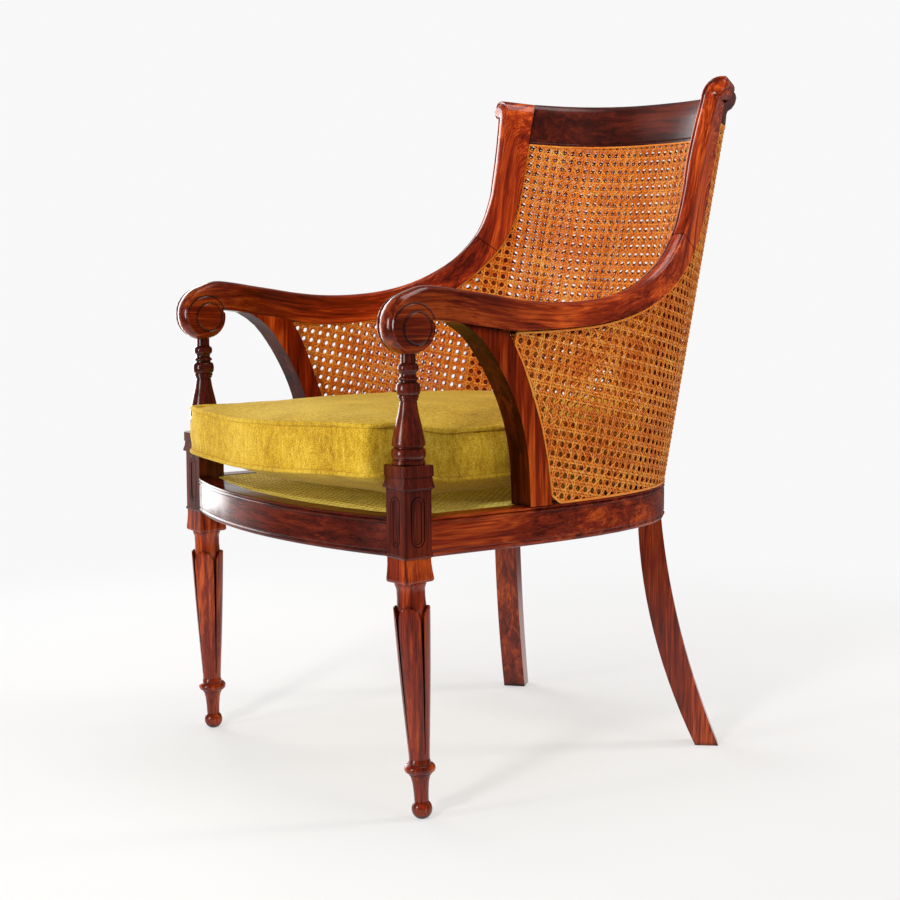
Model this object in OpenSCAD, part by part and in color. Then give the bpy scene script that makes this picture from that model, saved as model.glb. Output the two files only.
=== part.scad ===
// Cane tub chair: a mahogany show-wood frame whose leaning tub is caned inside and
// outside, with scrolled and reeded arms, a caned seat and one loose box cushion.
// The frame stands on the floor, its front faces -Y, and lengths are in millimetres.
// Plan distances are measured back from the line through the two front posts.

/* [Seat frame] */
// Height of the top of the seat rails
seat_h = 373; // [350:1:410]
// Height of a seat rail
rail_h = 49; // [40:1:60]
// Thickness of a seat rail
rail_t = 38; // [34:1:44]
// How far the rails stand outside the tub's middle surface
rail_proud = 11.3; // [9:0.1:14]
// How far the front rail bows forward of the posts' front faces
front_bow = 41; // [20:1:60]
// Size of the bead along the top and the foot of a rail
bead_r = 2; // [1:0.1:3]
// Width of the rebate in the rails that takes the seat cane
rebate_w = 10; // [6:0.5:12]
// Depth of that rebate
rebate_d = 2.5; // [2:0.1:4]

/* [Tub] */
// Half width of the tub at its middle surface
tub_half_w = 268; // [250:1:300]
// Distance behind the posts at which the sides begin to curve in
tub_start = 107; // [80:1:140]
// Depth of the curved part of the tub
tub_depth = 421; // [380:1:460]
// Squareness of the tub's plan, 2 being a true ellipse
tub_square = 2.77; // [2.2:0.01:3.2]
// Lean of the back from upright, in degrees
back_lean = 11.7; // [6:0.1:16]
// How far the back opens out behind the stiles by the height of its top
back_flare = 6; // [0:0.5:12]
// Distance of each layer of cane from the middle surface
cane_off = 10; // [9:0.1:12]
// Thickness of woven cane
cane_t = 2; // [1.5:0.1:3]

/* [Front posts and legs] */
// How far each post's axis lies inside the tub's middle surface
post_inset = 8; // [2:0.5:14]
// Width of the square post block
block_w = 39.5; // [36:0.5:42]
// Height of the top of the post block
block_top = 437; // [425:1:455]
// How far the front foot stands outside the post
leg_splay_out = 9; // [0:1:20]
// How far the front foot stands behind the post
leg_splay_back = 12; // [0:1:20]
// Radius of the ball foot
ball_r = 13; // [11:0.5:16]
// Radius of the turned collar above the ball foot
collar_r = 19.5; // [17:0.5:22]
// Height of that collar
collar_z = 63; // [55:1:75]
// Radius of the leg at the top of its four carved leaves
leaf_r = 22.5; // [21:0.5:25]
// Height of the top of the leaves
leaf_top = 266; // [250:1:275]
// Width of the carved groove between two leaves
leaf_groove = 5; // [3:0.5:7]
// Height of the leg's square head
head_h = 30; // [25:1:36]

/* [Arms] */
// Height of the crown of the arm behind its scroll
arm_h = 650; // [630:1:680]
// Depth of the arm from its crown to its underside
arm_depth = 38; // [34:1:44]
// Half width of the scroll and of the front of the arm
arm_half_w = 19; // [17:0.5:22]
// Half width of the stile above the elbow
elbow_half_w = 13.3; // [12:0.1:15]
// Height that the arm climbs from its crown to the foot of the straight stile
elbow_rise = 130; // [115:1:140]
// Radius of the raised eye in the scroll
eye_r = 21; // [16:0.5:22]
// Radius of the scroll's tail behind the eye
tail_r = 24.9; // [23:0.1:28]
// Rise of the middle reed above the arm's edge
reed_rise = 3; // [2:0.1:4]
// Distance from the posts to the foot of the curved arm support
support_y = 171; // [150:1:190]
// Depth of the arm support at its foot
support_d = 35; // [30:1:40]

/* [Back] */
// Overall height
back_h = 927; // [890:1:960]
// Plan distance from the posts to the front of a stile
stile_y = 404.7; // [395:0.1:420]
// Depth of a stile from front to back
stile_depth = 37.5; // [34:0.5:40]
// Radius of the turned-over top of a stile
stile_roll_r = 30.3; // [28:0.1:34]
// Height of the crest rail
crest_h = 62; // [50:1:75]
// How much lower the middle of the crest rail lies than its ends
crest_dip = 7.5; // [0:0.5:20]
// Radius of the roll along the top of the crest rail
crest_roll_r = 14.5; // [12:0.5:17]
// Thickness of the hidden part of a stile between the two layers of cane
post_t = 14.5; // [12:0.5:16]

/* [Rear legs] */
// Angle round the tub at which a rear leg stands, in degrees from the side
rear_leg_phi = 65.3; // [60:0.1:70]
// How far the rear foot stands outside the top of its leg
rear_splay = 83; // [60:1:100]
// Width of a rear leg across its curve
rear_leg_w = 33.5; // [28:0.5:38]
// Depth of a rear leg at its top and its foot
rear_leg_d = 32.5; // [28:0.5:36]

/* [Cushion] */
// Thickness of the cushion between its two seams
cushion_t = 64; // [50:1:90]
// Rise of the crown above the top seam
crown_top = 17; // [5:1:25]
// Fall of the underside below the bottom seam
crown_under = 39.5; // [20:0.5:45]
// How far the cushion overhangs the front rail
cushion_overhang = 8; // [0:1:20]
// Gap between the cushion and what stands round it
cushion_gap = 4; // [3:0.5:8]

/* [Hidden] */

mahogany = [0.52, 0.18, 0.09];
mahogany_dark = [0.38, 0.11, 0.06];
rattan = [0.80, 0.52, 0.24];
ochre = [0.78, 0.64, 0.14];
inner_wood = [0.72, 0.55, 0.36];

// Gap left round every tenon, and between faces that are cut to a curve
joint_gap = 0.15;
rail_z = seat_h - rail_h;
lean = tan(back_lean);
post_x = tub_half_w - post_inset;
cane_in = cane_off - cane_t / 2;
cane_out = cane_off + cane_t / 2;

function lerp(a, b, t) = a + (b - a) * t;
function ease(t) = let (c = min(1, max(0, t))) c * c * (3 - 2 * c);
function unit(v) = v / norm(v);

// Smooth curve through the points p, with the given number of steps between two points
function spline_at(p, i, t) =
    let (a = p[max(i - 1, 0)], b = p[i], c = p[i + 1], d = p[min(i + 2, len(p) - 1)])
    0.5 * (2 * b + (c - a) * t + (2 * a - 5 * b + 4 * c - d) * t * t
        + (3 * b - a - 3 * c + d) * t * t * t);
function spline(p, steps) =
    [for (i = [0:len(p) - 2]) for (k = [0:steps - 1]) spline_at(p, i, k / steps), p[len(p) - 1]];

// Points of an arc from angle a to angle b
function arc(centre, r, a, b, steps) =
    [for (k = [0:steps]) centre + r * [cos(lerp(a, b, k / steps)), sin(lerp(a, b, k / steps))]];

// Closed solid through a list of rings that have the same number of points. Its ends are
// one face each, or rungs that join the two halves of the ring when laddered is set.
module loft(rings, laddered = false) {
    n = len(rings[0]);
    last = (len(rings) - 1) * n;
    points = [for (ring = rings) for (p = ring) p];
    sides = [for (i = [0:len(rings) - 2]) for (j = [0:n - 1])
        let (a = i * n + j, b = i * n + (j + 1) % n)
        each [[a, b, a + n], [b, b + n, a + n]]];
    caps = laddered
        ? [for (j = [0:n / 2 - 2]) each [[n - 1 - j, n - 2 - j, j + 1, j],
            [last + j, last + j + 1, last + n - 2 - j, last + n - 1 - j]]]
        : [[for (j = [n - 1:-1:0]) j], [for (j = [0:n - 1]) last + j]];
    polyhedron(points, concat(sides, caps));
}

// Shows a piece of the left side, or its mirror image on the right
module on_left() { translate([0, -mid_y, 0]) children(); }
module on_right() { translate([0, -mid_y, 0]) mirror([1, 0, 0]) children(); }
module in_place() { translate([0, -mid_y, 0]) children(); }

// The tub: a leaning wall over a plan of two straight sides and one squared half ellipse.
// A place along it is w: below 0 it is millimetres in front of the curve on the left side,
// from 0 to 180 it is the angle round the curve, and above 180 the right side comes forward.
function tub_radius(w) =
    pow(pow(abs(cos(w)) / tub_half_w, tub_square) + pow(abs(sin(w)) / tub_depth, tub_square),
        -1 / tub_square);
function tub_normal(w) =
    w <= 0 ? [1, 0] : w >= 180 ? [-1, 0]
    : let (p = tub_radius(w) * [cos(w), sin(w)])
        unit([sign(p.x) * pow(abs(p.x) / tub_half_w, tub_square - 1) / tub_half_w,
              pow(p.y / tub_depth, tub_square - 1) / tub_depth]);
function tub_plan(w, off) =
    w < 0 ? [tub_half_w + off, tub_start + w]
    : w > 180 ? [-tub_half_w - off, tub_start - (w - 180)]
    : [0, tub_start] + tub_radius(w) * [cos(w), sin(w)] + off * tub_normal(w);
// The flare starts behind the stiles and grows with height
function flare(w, z) =
    back_flare * max(0, z - seat_h) / (back_h - seat_h)
        * ease((w - border_w - 0.5) / 9) * ease((180 - border_w - 0.5 - w) / 9);
function tub(w, z, off) =
    let (p = tub_plan(w, off + flare(w, z))) [p.x, p.y + lean * (z - seat_h), z];
// Place along the tub's left side of a plan distance behind the posts
function tub_at(y) =
    y < tub_start ? y - tub_start
    : atan2(y - tub_start,
        tub_half_w * pow(1 - pow((y - tub_start) / tub_depth, tub_square), 1 / tub_square));
// Plan distance behind the posts of a point that lies at y and z when seen from the side
function plan_y(p) = p.x - lean * (p.y - seat_h);

// Sets children on the tub at w, with x along the outward normal and y along the wall
module at_tub(w, z, off) {
    p = tub_plan(w, off);
    n = tub_normal(w);
    translate([p.x, p.y, z]) rotate([0, 0, atan2(n.y, n.x)]) children();
}

// Seat rails
rail_out = rail_proud;
rail_in = rail_proud - rail_t;
seat_edge = rail_in + rebate_w;
front_half = post_x - block_w / 2;
front_outer = -block_w / 2;
front_radius = (front_half * front_half + front_bow * front_bow) / (2 * front_bow);
front_centre = front_outer - front_bow + front_radius;
function front_y(x, inset) =
    front_centre - sqrt(pow(front_radius - inset, 2) - x * x);

// Section of a rail: distance outwards and height, with a rebate, two beads and quirks
function rail_section() = let (o = rail_out, b = bead_r) [
    [rail_in, rail_z], [o - 2, rail_z], [o - 0.4, rail_z + 0.6], [o + 0.7, rail_z + 1.2 * b],
    [o + 0.7, rail_z + 2.4 * b], [o - 0.8, rail_z + 3.2 * b], [o, rail_z + 4 * b],
    [o, seat_h - 5.2 * b], [o - 0.8, seat_h - 4.4 * b], [o + 0.5, seat_h - 3.7 * b],
    [o + 0.5, seat_h - 2.9 * b], [o - 0.8, seat_h - 2.2 * b], [o + 0.7, seat_h - 1.5 * b],
    [o + 0.7, seat_h - 0.5 * b], [o - 0.8, seat_h], [seat_edge, seat_h],
    [seat_edge, seat_h - rebate_d], [rail_in, seat_h - rebate_d]
];
function rail_ring(w) =
    [for (s = rail_section()) let (p = tub_plan(w, s.x)) [p.x, p.y, s.y]];

rail_tenon_h = 24;
rail_tenon_z = seat_h - 30;
front_tenon_t = 10;
front_tenon_l = 17;
side_tenon_l = 19;
side_tenon_x = post_x + 2;
rail_joint = 74;
tongue_l = 22;

module front_tenon(gap) {
    translate([front_half - 1, front_outer + rail_t / 2 - front_tenon_t / 2 - gap,
               rail_tenon_z - gap])
        cube([front_tenon_l + 1 + gap, front_tenon_t + 2 * gap, rail_tenon_h + 2 * gap]);
}
module side_tenon(gap) {
    translate([side_tenon_x - gap, block_w / 2 - side_tenon_l - gap, rail_tenon_z - gap])
        cube([front_tenon_t + 2 * gap, side_tenon_l + 1 + gap, rail_tenon_h + 2 * gap]);
}
// Tongue of the back rail in the end of the left side rail
module rail_tongue(gap) {
    at_tub(rail_joint, rail_z + rail_h / 2, (rail_in + rail_out) / 2)
        translate([-front_tenon_t / 2 - gap, -tongue_l - gap, -rail_tenon_h / 2 - gap])
            cube([front_tenon_t + 2 * gap, tongue_l + 2, rail_tenon_h + 2 * gap]);
}

foot_mould = 1.2;
foot_mould_h = 5;
module front_rail() {
    color(mahogany) in_place() union() {
        intersection() {
            translate([0, front_centre, 0]) rotate_extrude($fn = 360)
                polygon([for (s = rail_section()) [front_radius + s.x - rail_out, s.y]]);
            union() {
                translate([joint_gap - front_half, -200, rail_z + foot_mould_h + joint_gap])
                    cube([2 * (front_half - joint_gap), 200, rail_h]);
                translate([foot_mould + joint_gap - front_half, -200, rail_z - 1])
                    cube([2 * (front_half - foot_mould - joint_gap), 200, rail_h]);
            }
        }
        for (side = [0, 1]) mirror([side, 0, 0]) front_tenon(0);
    }
}
module side_rail() {
    side_from = block_w / 2 + joint_gap;
    color(mahogany) difference() {
        union() {
            translate([tub_half_w, side_from, 0]) rotate([90, 0, 180])
                linear_extrude(tub_start - side_from)
                    polygon([for (s = rail_section()) [-s.x, s.y]]);
            loft([for (w = [0, each [6:6:rail_joint - 6], rail_joint - 0.03]) rail_ring(w)]);
            side_tenon(0);
        }
        translate([tub_half_w - rail_t, 0, rail_z - 1])
            cube([2 * rail_t, block_w / 2 + foot_mould + joint_gap, foot_mould_h + 1 + joint_gap]);
        rail_tongue(joint_gap);
        rear_leg_tenon(joint_gap);
        stile_tenon(joint_gap);
        support_tenon(joint_gap);
    }
}
module side_rail_left() { on_left() side_rail(); }
module side_rail_right() { on_right() side_rail(); }
module back_rail() {
    color(mahogany) in_place() union() {
        loft([for (k = [0:8]) rail_ring(lerp(rail_joint, 180 - rail_joint, k / 8))]);
        for (side = [0, 1]) mirror([side, 0, 0]) rail_tongue(0);
    }
}

// Blocks glued into the corners of the seat frame, below the cane
block_drop = 14;
block_corner = 52;
module corner_block_front() {
    inner = tub_half_w + rail_in;
    reach = inner - block_corner;
    edge = [for (k = [0:5]) let (x = lerp(front_half - 1, reach, k / 5))
        [x, max(front_y(x, rail_t) + joint_gap, block_w / 2 * (x > front_half ? 1 : -1))]];
    color(inner_wood) translate([0, 0, rail_z + foot_mould_h + 0.5])
        linear_extrude(rail_h - block_drop - foot_mould_h + 2.5)
            difference() {
                polygon(concat([[inner - joint_gap, block_w / 2 + block_corner],
                    [inner - joint_gap, block_w / 2 + joint_gap],
                    [front_half - joint_gap, block_w / 2 + joint_gap]], edge));
                translate([front_half - joint_gap, -block_w])
                    square([block_w, 1.5 * block_w + joint_gap]);
            }
}
module corner_block_front_left() { on_left() corner_block_front(); }
module corner_block_front_right() { on_right() corner_block_front(); }
module corner_block_rear() {
    outer = [for (w = [60, 66, rail_joint, rail_joint + 4, rail_joint + 8])
        tub_plan(w, rail_in - 2 * joint_gap)];
    color(inner_wood) translate([0, 0, rail_z + 3])
        linear_extrude(rail_h - block_drop)
            polygon(concat(outer, [tub_plan(rail_joint + 4, rail_in - 24),
                tub_plan(64, rail_in - 24)]));
}
module corner_block_rear_left() { on_left() corner_block_rear(); }
module corner_block_rear_right() { on_right() corner_block_rear(); }

// Half round moulding of a turning, from height a to height b
function turned_bead(r, rise, a, b) =
    [for (k = [0:6]) [r + rise * sin(30 * k), lerp(a, b, (1 - cos(30 * k)) / 2)]];
// Square moulding: the same outline seen from the front and from the side
module square_turned(outline) {
    profile = concat(outline, [for (k = [len(outline) - 1:-1:0]) [-outline[k].x, outline[k].y]]);
    intersection() {
        rotate([90, 0, 0]) linear_extrude(80, center = true) polygon(profile);
        rotate([90, 0, 90]) linear_extrude(80, center = true) polygon(profile);
    }
}

// Front leg, turned about its own axis, which leans out and back to the foot
leg_axis = [leg_splay_out, leg_splay_back, -rail_z];
leg_length = norm(leg_axis);
leg_tilt_x = asin(leg_splay_back / leg_length);
leg_tilt_y = -asin(leg_splay_out / (leg_length * cos(leg_tilt_x)));
leg_tenon_r = 9;
leg_tenon_h = 15;
ankle_r = 9;
ball_z = ball_r - 1.2;
leaf_foot = collar_z + 16;
leaf_foot_r = 13;
leaf_thick = 4;
leg_neck_r = leaf_r - leaf_thick - 0.3;
head_z = leg_length - head_h;

module leg_core() {
    ankle = [[ankle_r, ball_z + 10], [ankle_r, collar_z - 36], [ankle_r + 0.4, collar_z - 28],
        [ankle_r + 1.4, collar_z - 18], [ankle_r + 3.6, collar_z - 9]];
    rotate_extrude($fn = 64) polygon(concat([[0, -4]],
        arc([0, ball_z], ball_r, -80, 48, 10), ankle,
        [[14, collar_z - 8], [14, collar_z - 6.2]],
        turned_bead(14, collar_r - 14, collar_z - 6, collar_z + 6),
        [[14, collar_z + 7.5], [leaf_foot_r, collar_z + 11], [leaf_foot_r - 2.5, leaf_foot],
         [leg_neck_r, leaf_top - 4], [leg_neck_r - 0.8, leaf_top + 8],
         [leg_neck_r - 0.6, head_z - 8], [leg_neck_r + 1.4, head_z - 2.5],
         [leg_neck_r + 1.4, head_z + 1], [0, head_z + 1]]));
}
// Four carved leaves, rounded at their tips and parted by tapering grooves
module leg_leaves() {
    half = leaf_groove / 2;
    groove = concat(
        spline([[0.5, leaf_foot + 4], [0.3 * half + 0.5, lerp(leaf_foot, leaf_top, 0.5)],
            [half, leaf_top - 26], [half + 2.2, leaf_top - 10], [half + 7, leaf_top - 3],
            [half + 15, leaf_top + 1]], 3));
    outline = concat(groove, [for (k = [len(groove) - 1:-1:0]) [-groove[k].x, groove[k].y]]);
    difference() {
        rotate_extrude($fn = 64) polygon(concat(
            [[leaf_foot_r - 3, leaf_foot - 4], [leaf_foot_r, leaf_foot - 4]],
            spline([[leaf_foot_r, leaf_foot], [lerp(leaf_foot_r, leaf_r, 0.52) + 0.8,
                lerp(leaf_foot, leaf_top, 0.5)], [leaf_r, leaf_top - 12],
                [leaf_r - 0.5, leaf_top - 3]], 4),
            [[leaf_r - 2.2, leaf_top - 0.4], [leg_neck_r - 1, leaf_top]]));
        for (k = [0:3]) rotate([0, 0, 90 * k]) translate([leaf_foot_r - 2.4, 0, 0])
            rotate([90, 0, 90]) linear_extrude(30) polygon(outline);
    }
}
module leg_head() {
    half = block_w / 2;
    translate([0, 0, head_z]) square_turned([[half - 1.6, -0.4], [half + 0.2, 0.5],
        [half + 1.1, 2.2], [half + 1.1, 5], [half + 0.3, 12], [half - 0.5, 22],
        [half - 0.7, head_h + 3]]);
}
module front_leg() {
    color(mahogany) union() {
        intersection() {
            translate([post_x + leg_splay_out, leg_splay_back, 0])
                rotate([leg_tilt_x, leg_tilt_y, 0]) union() {
                    leg_core();
                    leg_leaves();
                    leg_head();
                }
            translate([post_x - 60, -60, 0]) cube([140, 140, rail_z - joint_gap / 2]);
        }
        translate([post_x, 0, rail_z - 1]) cylinder(h = leg_tenon_h + 1, r = leg_tenon_r, $fn = 48);
    }
}
module front_leg_left() { on_left() front_leg(); }
module front_leg_right() { on_right() front_leg(); }

// Arm post: a square block that the seat rails enter, and a baluster under the scroll
scroll_grow = 5.47;
eye_y = 1.3;
scroll_r = tail_r + 3 * scroll_grow;
scroll_z = arm_h - 8 - scroll_r;
scroll_foot = scroll_z - tail_r - scroll_grow + 1;
collar_seat = scroll_foot - 0.6;
post_tenon_r = 6;
post_tenon_h = 18;
cartouche_w = 20;
cartouche_h = 62;

module stadium(w, h) {
    square([w, h - w], center = true);
    for (end = [-1, 1]) translate([0, end * (h - w) / 2]) circle(d = w, $fn = 48);
}
// A sunk oval field inside a sunk line, cut in a face of the block
module cartouche() {
    rotate([90, 0, 0]) {
        linear_extrude(1) difference() {
            stadium(cartouche_w, cartouche_h);
            stadium(cartouche_w - 2.6, cartouche_h - 2.6);
        }
        linear_extrude(1.2) stadium(cartouche_w - 8, cartouche_h - 8);
    }
}
module post_block() {
    half = block_w / 2;
    tier = block_top - 29;
    difference() {
        translate([post_x, 0, 0]) square_turned([[half, rail_z], [half + 0.9, rail_z + 1],
            [half + foot_mould, rail_z + 2.5], [half + 0.6, rail_z + 4],
            [half, rail_z + foot_mould_h],
            [half, tier - 1], [half + 1, tier], [half + 2.8, tier + 0.8],
            [half + 3.2, tier + 2.2], [half + 2.4, tier + 5], [half + 1.4, tier + 9],
            [half + 1, tier + 13.5], [half + 0.6, tier + 14.4], [half + 1.9, tier + 15],
            [half + 1.9, tier + 27.6], [half + 0.8, tier + 29]]);
        middle = (rail_z + foot_mould_h + tier) / 2;
        translate([post_x, 1 - half, middle]) cartouche();
        translate([post_x + half - 1, 0, middle]) rotate([0, 0, 90]) cartouche();
        front_tenon(joint_gap);
        side_tenon(joint_gap);
        translate([post_x, 0, rail_z - 1])
            cylinder(h = leg_tenon_h + 2, r = leg_tenon_r + joint_gap, $fn = 48);
    }
}
module baluster() {
    stretch = (collar_seat - block_top) / 133;
    turning = concat([[19.5, 0], [20.5, 0.8], [20.5, 5], [19.3, 6]],
        turned_bead(19, 2.5, 7, 19.5), [[18.2, 20.3], [18.2, 21.4]],
        spline([[20.2, 22.5], [20.5, 26], [19, 34], [16, 48], [12.4, 63], [10.3, 76]], 3),
        [[11.8, 77], [11.8, 79.2], [12.8, 79.8], [12.8, 82.5]], turned_bead(12.3, 2.7, 83.2, 98),
        [[10.4, 98.8], [10.4, 100.4]], turned_bead(11, 1.4, 100.8, 104.6),
        [[9.7, 106], [9.5, 108], [10.4, 110]], turned_bead(10.6, 2.4, 110.6, 120.6),
        [[9.2, 122], [9, 126], [9, 133]]);
    translate([post_x, 0, block_top]) rotate_extrude($fn = 64)
        polygon(concat([[0, -1], [17, -1]], [for (p = turning) [p.x, p.y * stretch]],
            [[0, 133 * stretch]]));
    translate([post_x, 0, collar_seat - 1])
        cylinder(h = post_tenon_h + 1, r = post_tenon_r, $fn = 48);
}
module arm_post() {
    color(mahogany_dark) union() {
        post_block();
        baluster();
    }
}
module arm_post_left() { on_left() arm_post(); }
module arm_post_right() { on_right() arm_post(); }

// Edge line of the arm and stile, seen from the side: the scroll's spiral, then the
// sweep along the arm and up to the elbow, then the straight stile and its turned top.
elbow_z = arm_h + elbow_rise;
elbow_y = stile_y + lean * (elbow_z - seat_h);
arm_waist = arm_depth - 5;
// Share of the run to the elbow and share of the elbow's rise
arm_sweep = [
    [0.04, -0.014], [0.10, -0.030], [0.17, -0.068], [0.24, -0.106], [0.317, -0.15],
    [0.41, -0.1825], [0.51, -0.185], [0.61, -0.154], [0.706, -0.082], [0.79, 0.039],
    [0.87, 0.2175], [0.927, 0.422], [0.968, 0.655], [1, 1]
];
function stile_line(z) = [stile_y + lean * (z - seat_h), z];
function scroll_at(a) = let (t = a / 90,
    r = tail_r + scroll_grow * t - 0.5 * t * (3 - t) + 2 * pow(max(0, 1 - t), 2))
    [eye_y + r * cos(a), scroll_z - r * sin(a)];

scroll_line = [for (a = [-13:12.5:262]) scroll_at(a)];
scroll_n = len(scroll_line);
sweep_steps = 3;
sweep_points = concat([scroll_at(249.5), scroll_at(262)],
    [for (s = arm_sweep) [s.x * elbow_y, arm_h + s.y * elbow_rise]], [stile_line(elbow_z + 30)]);
sweep_line = [for (i = [1:len(sweep_points) - 2]) for (k = [0:sweep_steps - 1])
    if (i > 1 || k > 0) spline_at(sweep_points, i, k / sweep_steps)];
edge_line = concat(scroll_line, sweep_line, [stile_line(elbow_z + 30)]);
joint_n = scroll_n + 13 * sweep_steps - 3;
edge_n = len(edge_line) - sweep_steps;

// Half width of the arm's edge at a run behind the posts, and how far it stands outside
// the tub's middle surface
edge_widths = [[60, arm_half_w], [134, arm_half_w], [190, 17.4], [250, 15.5], [320, 13.3],
    [400, 11.5], [470, 10.6], [492, 11.6], [520, elbow_half_w]];
edge_shifts = [[110, 1.2], [260, 1.6], [340, 1], [420, -0.7], [496, -3.7], [530, -3.2],
    [560, -1.7], [600, 1.8], [640, 6.6]];
function run_at(p) = p.x + max(0, p.y - elbow_z);
function edge_half(p) = lookup(run_at(p), edge_widths);
function edge_shift(p) = p.x < 110 && p.y < elbow_z
    ? lerp(post_x - tub_half_w, edge_shifts[0][1], ease((p.x - 15) / 95))
    : lookup(run_at(p), edge_shifts);
// The underside keeps to the tub, a little prouder than the cane
function under_half(p) = max(edge_half(p), cane_out + 1.8);
function under_shift(p) = edge_shift(p) * (1 - ease((run_at(p) - 280) / 120));
// How far the underside hangs lower at the inner side of the arm than at its middle
function under_tilt(p) = 5 * ease((p.x - 130) / 70) * (1 - ease((p.x - 330) / 120));
// How much the front face turns from the tub's normal, as a share of the place across it
function edge_skew(p) = 0.25 * ease((run_at(p) - 400) / 110);
function depth_at(y) =
    y < 300 ? lerp(arm_depth, arm_waist, ease((y - 130) / 130))
    : lerp(arm_waist, stile_depth, ease((y - elbow_y + 60) / 60));
function drop_at(i) =
    let (d = unit(edge_line[i + 1] - edge_line[i - 1])) [d.y, -d.x];
border_y = stile_y + stile_depth / cos(back_lean);
border_w = tub_at(border_y);
// Keeps the underside in front of the line where the crest rail and back cane begin
function behind(p) = [min(p.x, border_y + lean * (p.y - seat_h)), p.y];

// A station holds the edge and the underside
function arm_station(i) =
    i < scroll_n
    ? let (e = edge_line[i], c = [eye_y, scroll_z]) [e, c + 9 * unit(e - c)]
    : let (e = edge_line[i]) [e, behind(e + depth_at(e.x) * drop_at(i))];
arm_stations = [for (i = [0:joint_n]) arm_station(i)];
function stile_station(z) = [stile_line(z),
    stile_line(z) + stile_depth * [cos(back_lean), -sin(back_lean)]];
roll_start = back_h - stile_roll_r;
stile_stations = concat([for (i = [joint_n:edge_n - 1]) arm_station(i)],
    [for (k = [1:4]) stile_station(lerp(elbow_z, roll_start - 12, k / 4))]);

// Half of the reeded edge: share of the half width, and share of the reed's rise inwards
reed = [[0, -1], [0.26, -0.83], [0.5, -0.37], [0.66, 0.33], [0.73, 0.73], [0.78, 0.25],
    [0.87, 0], [0.96, 0.25], [1, 1.2]];
function on_tub(p, off) = tub(tub_at(plan_y(p)), p.y, off);
function on_arm(p, off) = on_tub([p.x - edge_skew(p) * off, p.y], off)
    + [edge_shift(p), 0, 0];
function on_under(p, off) = on_tub(p, off) + [under_shift(p), 0, 0];
function under_point(s, off) =
    let (tilt = under_tilt(s[0]) * off / under_half(s[0]))
    on_under(s[1] - tilt * unit(s[1] - s[0]), off);
function arm_ring(s) =
    let (e = s[0], half = edge_half(e), back = under_half(e), d = unit(s[1] - e),
         rise = reed_rise * half / arm_half_w,
         inner = [for (r = reed) on_arm(e, -r.x * half) + r.y * rise * [0, d.x, d.y]],
         outer = [for (k = [len(reed) - 1:-1:1])
             on_arm(e, reed[k].x * half) + reed[k].y * rise * [0, d.x, d.y]])
    concat(inner, [under_point(s, -back), under_point(s, back)], outer);

// Top of the stile: it turns outwards about its outer arris, at the end of the crest
// rail's roll. A ring there lies across the turn, with its corners on the stile's front
// and rear faces, and the last rings round off the tip.
roll_tip = 8;
roll_turn = 100;
roll_corner = [elbow_half_w + 0.7, roll_start];
roll_rear = (stile_roll_r - 6.5) / stile_roll_r;
roll_depth = [0, cos(back_lean), -sin(back_lean)];
function roll_reach(a) =
    lerp(2 * elbow_half_w + 0.7, stile_roll_r, min(1, a / 90)) + max(0, 2.2 * sin(2 * a));
function roll_middle(a) = roll_corner + (roll_reach(a) + 0.7) / 2 * [-cos(a), sin(a)];
function roll_half(a) = (roll_reach(a) - 0.7) / 2;
function roll_front(q, rise) = on_arm(stile_line(q.y), q.x) + rise * roll_depth;
function roll_back(q) = tub(border_w, roll_start + (q.y - roll_start) * roll_rear, q.x);
function roll_ring(c, across) =
    let (rise = reed_rise * elbow_half_w / arm_half_w)
    concat([for (r = reed) roll_front(c - r.x * across, r.y * rise)],
        [roll_back(c - across), roll_back(c + across)],
        [for (k = [len(reed) - 1:-1:1]) roll_front(c + reed[k].x * across, reed[k].y * rise)]);
roll_rings = concat(
    [for (k = [0:8]) let (a = roll_turn * k / 8)
        roll_ring(roll_middle(a), roll_half(a) * [cos(a), -sin(a)])],
    [for (b = [30, 55, 75])
        roll_ring(roll_middle(roll_turn)
            + roll_tip * sin(b) * [sin(roll_turn), cos(roll_turn)],
            roll_half(roll_turn) * cos(b) * [cos(roll_turn), -sin(roll_turn)])]);

// Solid that removes what lies above the underside of the arm, between two stations
module above_underside(first, last) {
    loft([for (i = [first:last]) let (s = arm_station(i), g = unit(s[1] - s[0]),
        above = s[0] - 10 * g, cut = [s[0], s[1] + 2.4 * joint_gap * g])
        [on_under(above, -30), under_point(cut, -30), under_point(cut, 30), on_under(above, 30)]]);
}

// Web that closes the narrow gap between the scroll's tail and the arm's underside
module scroll_tail() {
    tail = arm_stations[0];
    d = unit(tail[1] - tail[0]);
    web_t = 2 * arm_half_w - 3;
    translate([post_x - web_t / 2, 0, 0]) rotate([90, 0, 90]) linear_extrude(web_t)
        polygon([tail[1] - [0, 0.8], tail[0] + 2.5 * d - [0, 0.8],
            [tail[0].x - 3.2, tail[0].y + 5.2], [tail[1].x + 4, tail[1].y + 7]]);
}

module arm() {
    color(mahogany) difference() {
        union() {
            loft([for (s = arm_stations) arm_ring(s)]);
            scroll_tail();
            translate([post_x - arm_half_w - 0.8, eye_y, scroll_z]) rotate([0, 90, 0])
                cylinder(h = 2 * arm_half_w + 1.6, r = eye_r, $fn = 64);
        }
        translate([post_x, 0, scroll_foot - 10])
            cylinder(h = 10.4, r = 9.2, $fn = 48);
        translate([post_x, 0, scroll_foot - 5])
            cylinder(h = post_tenon_h + 5, r = post_tenon_r + joint_gap, $fn = 48);
    }
}
module arm_left() { on_left() arm(); }
module arm_right() { on_right() arm(); }

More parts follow.
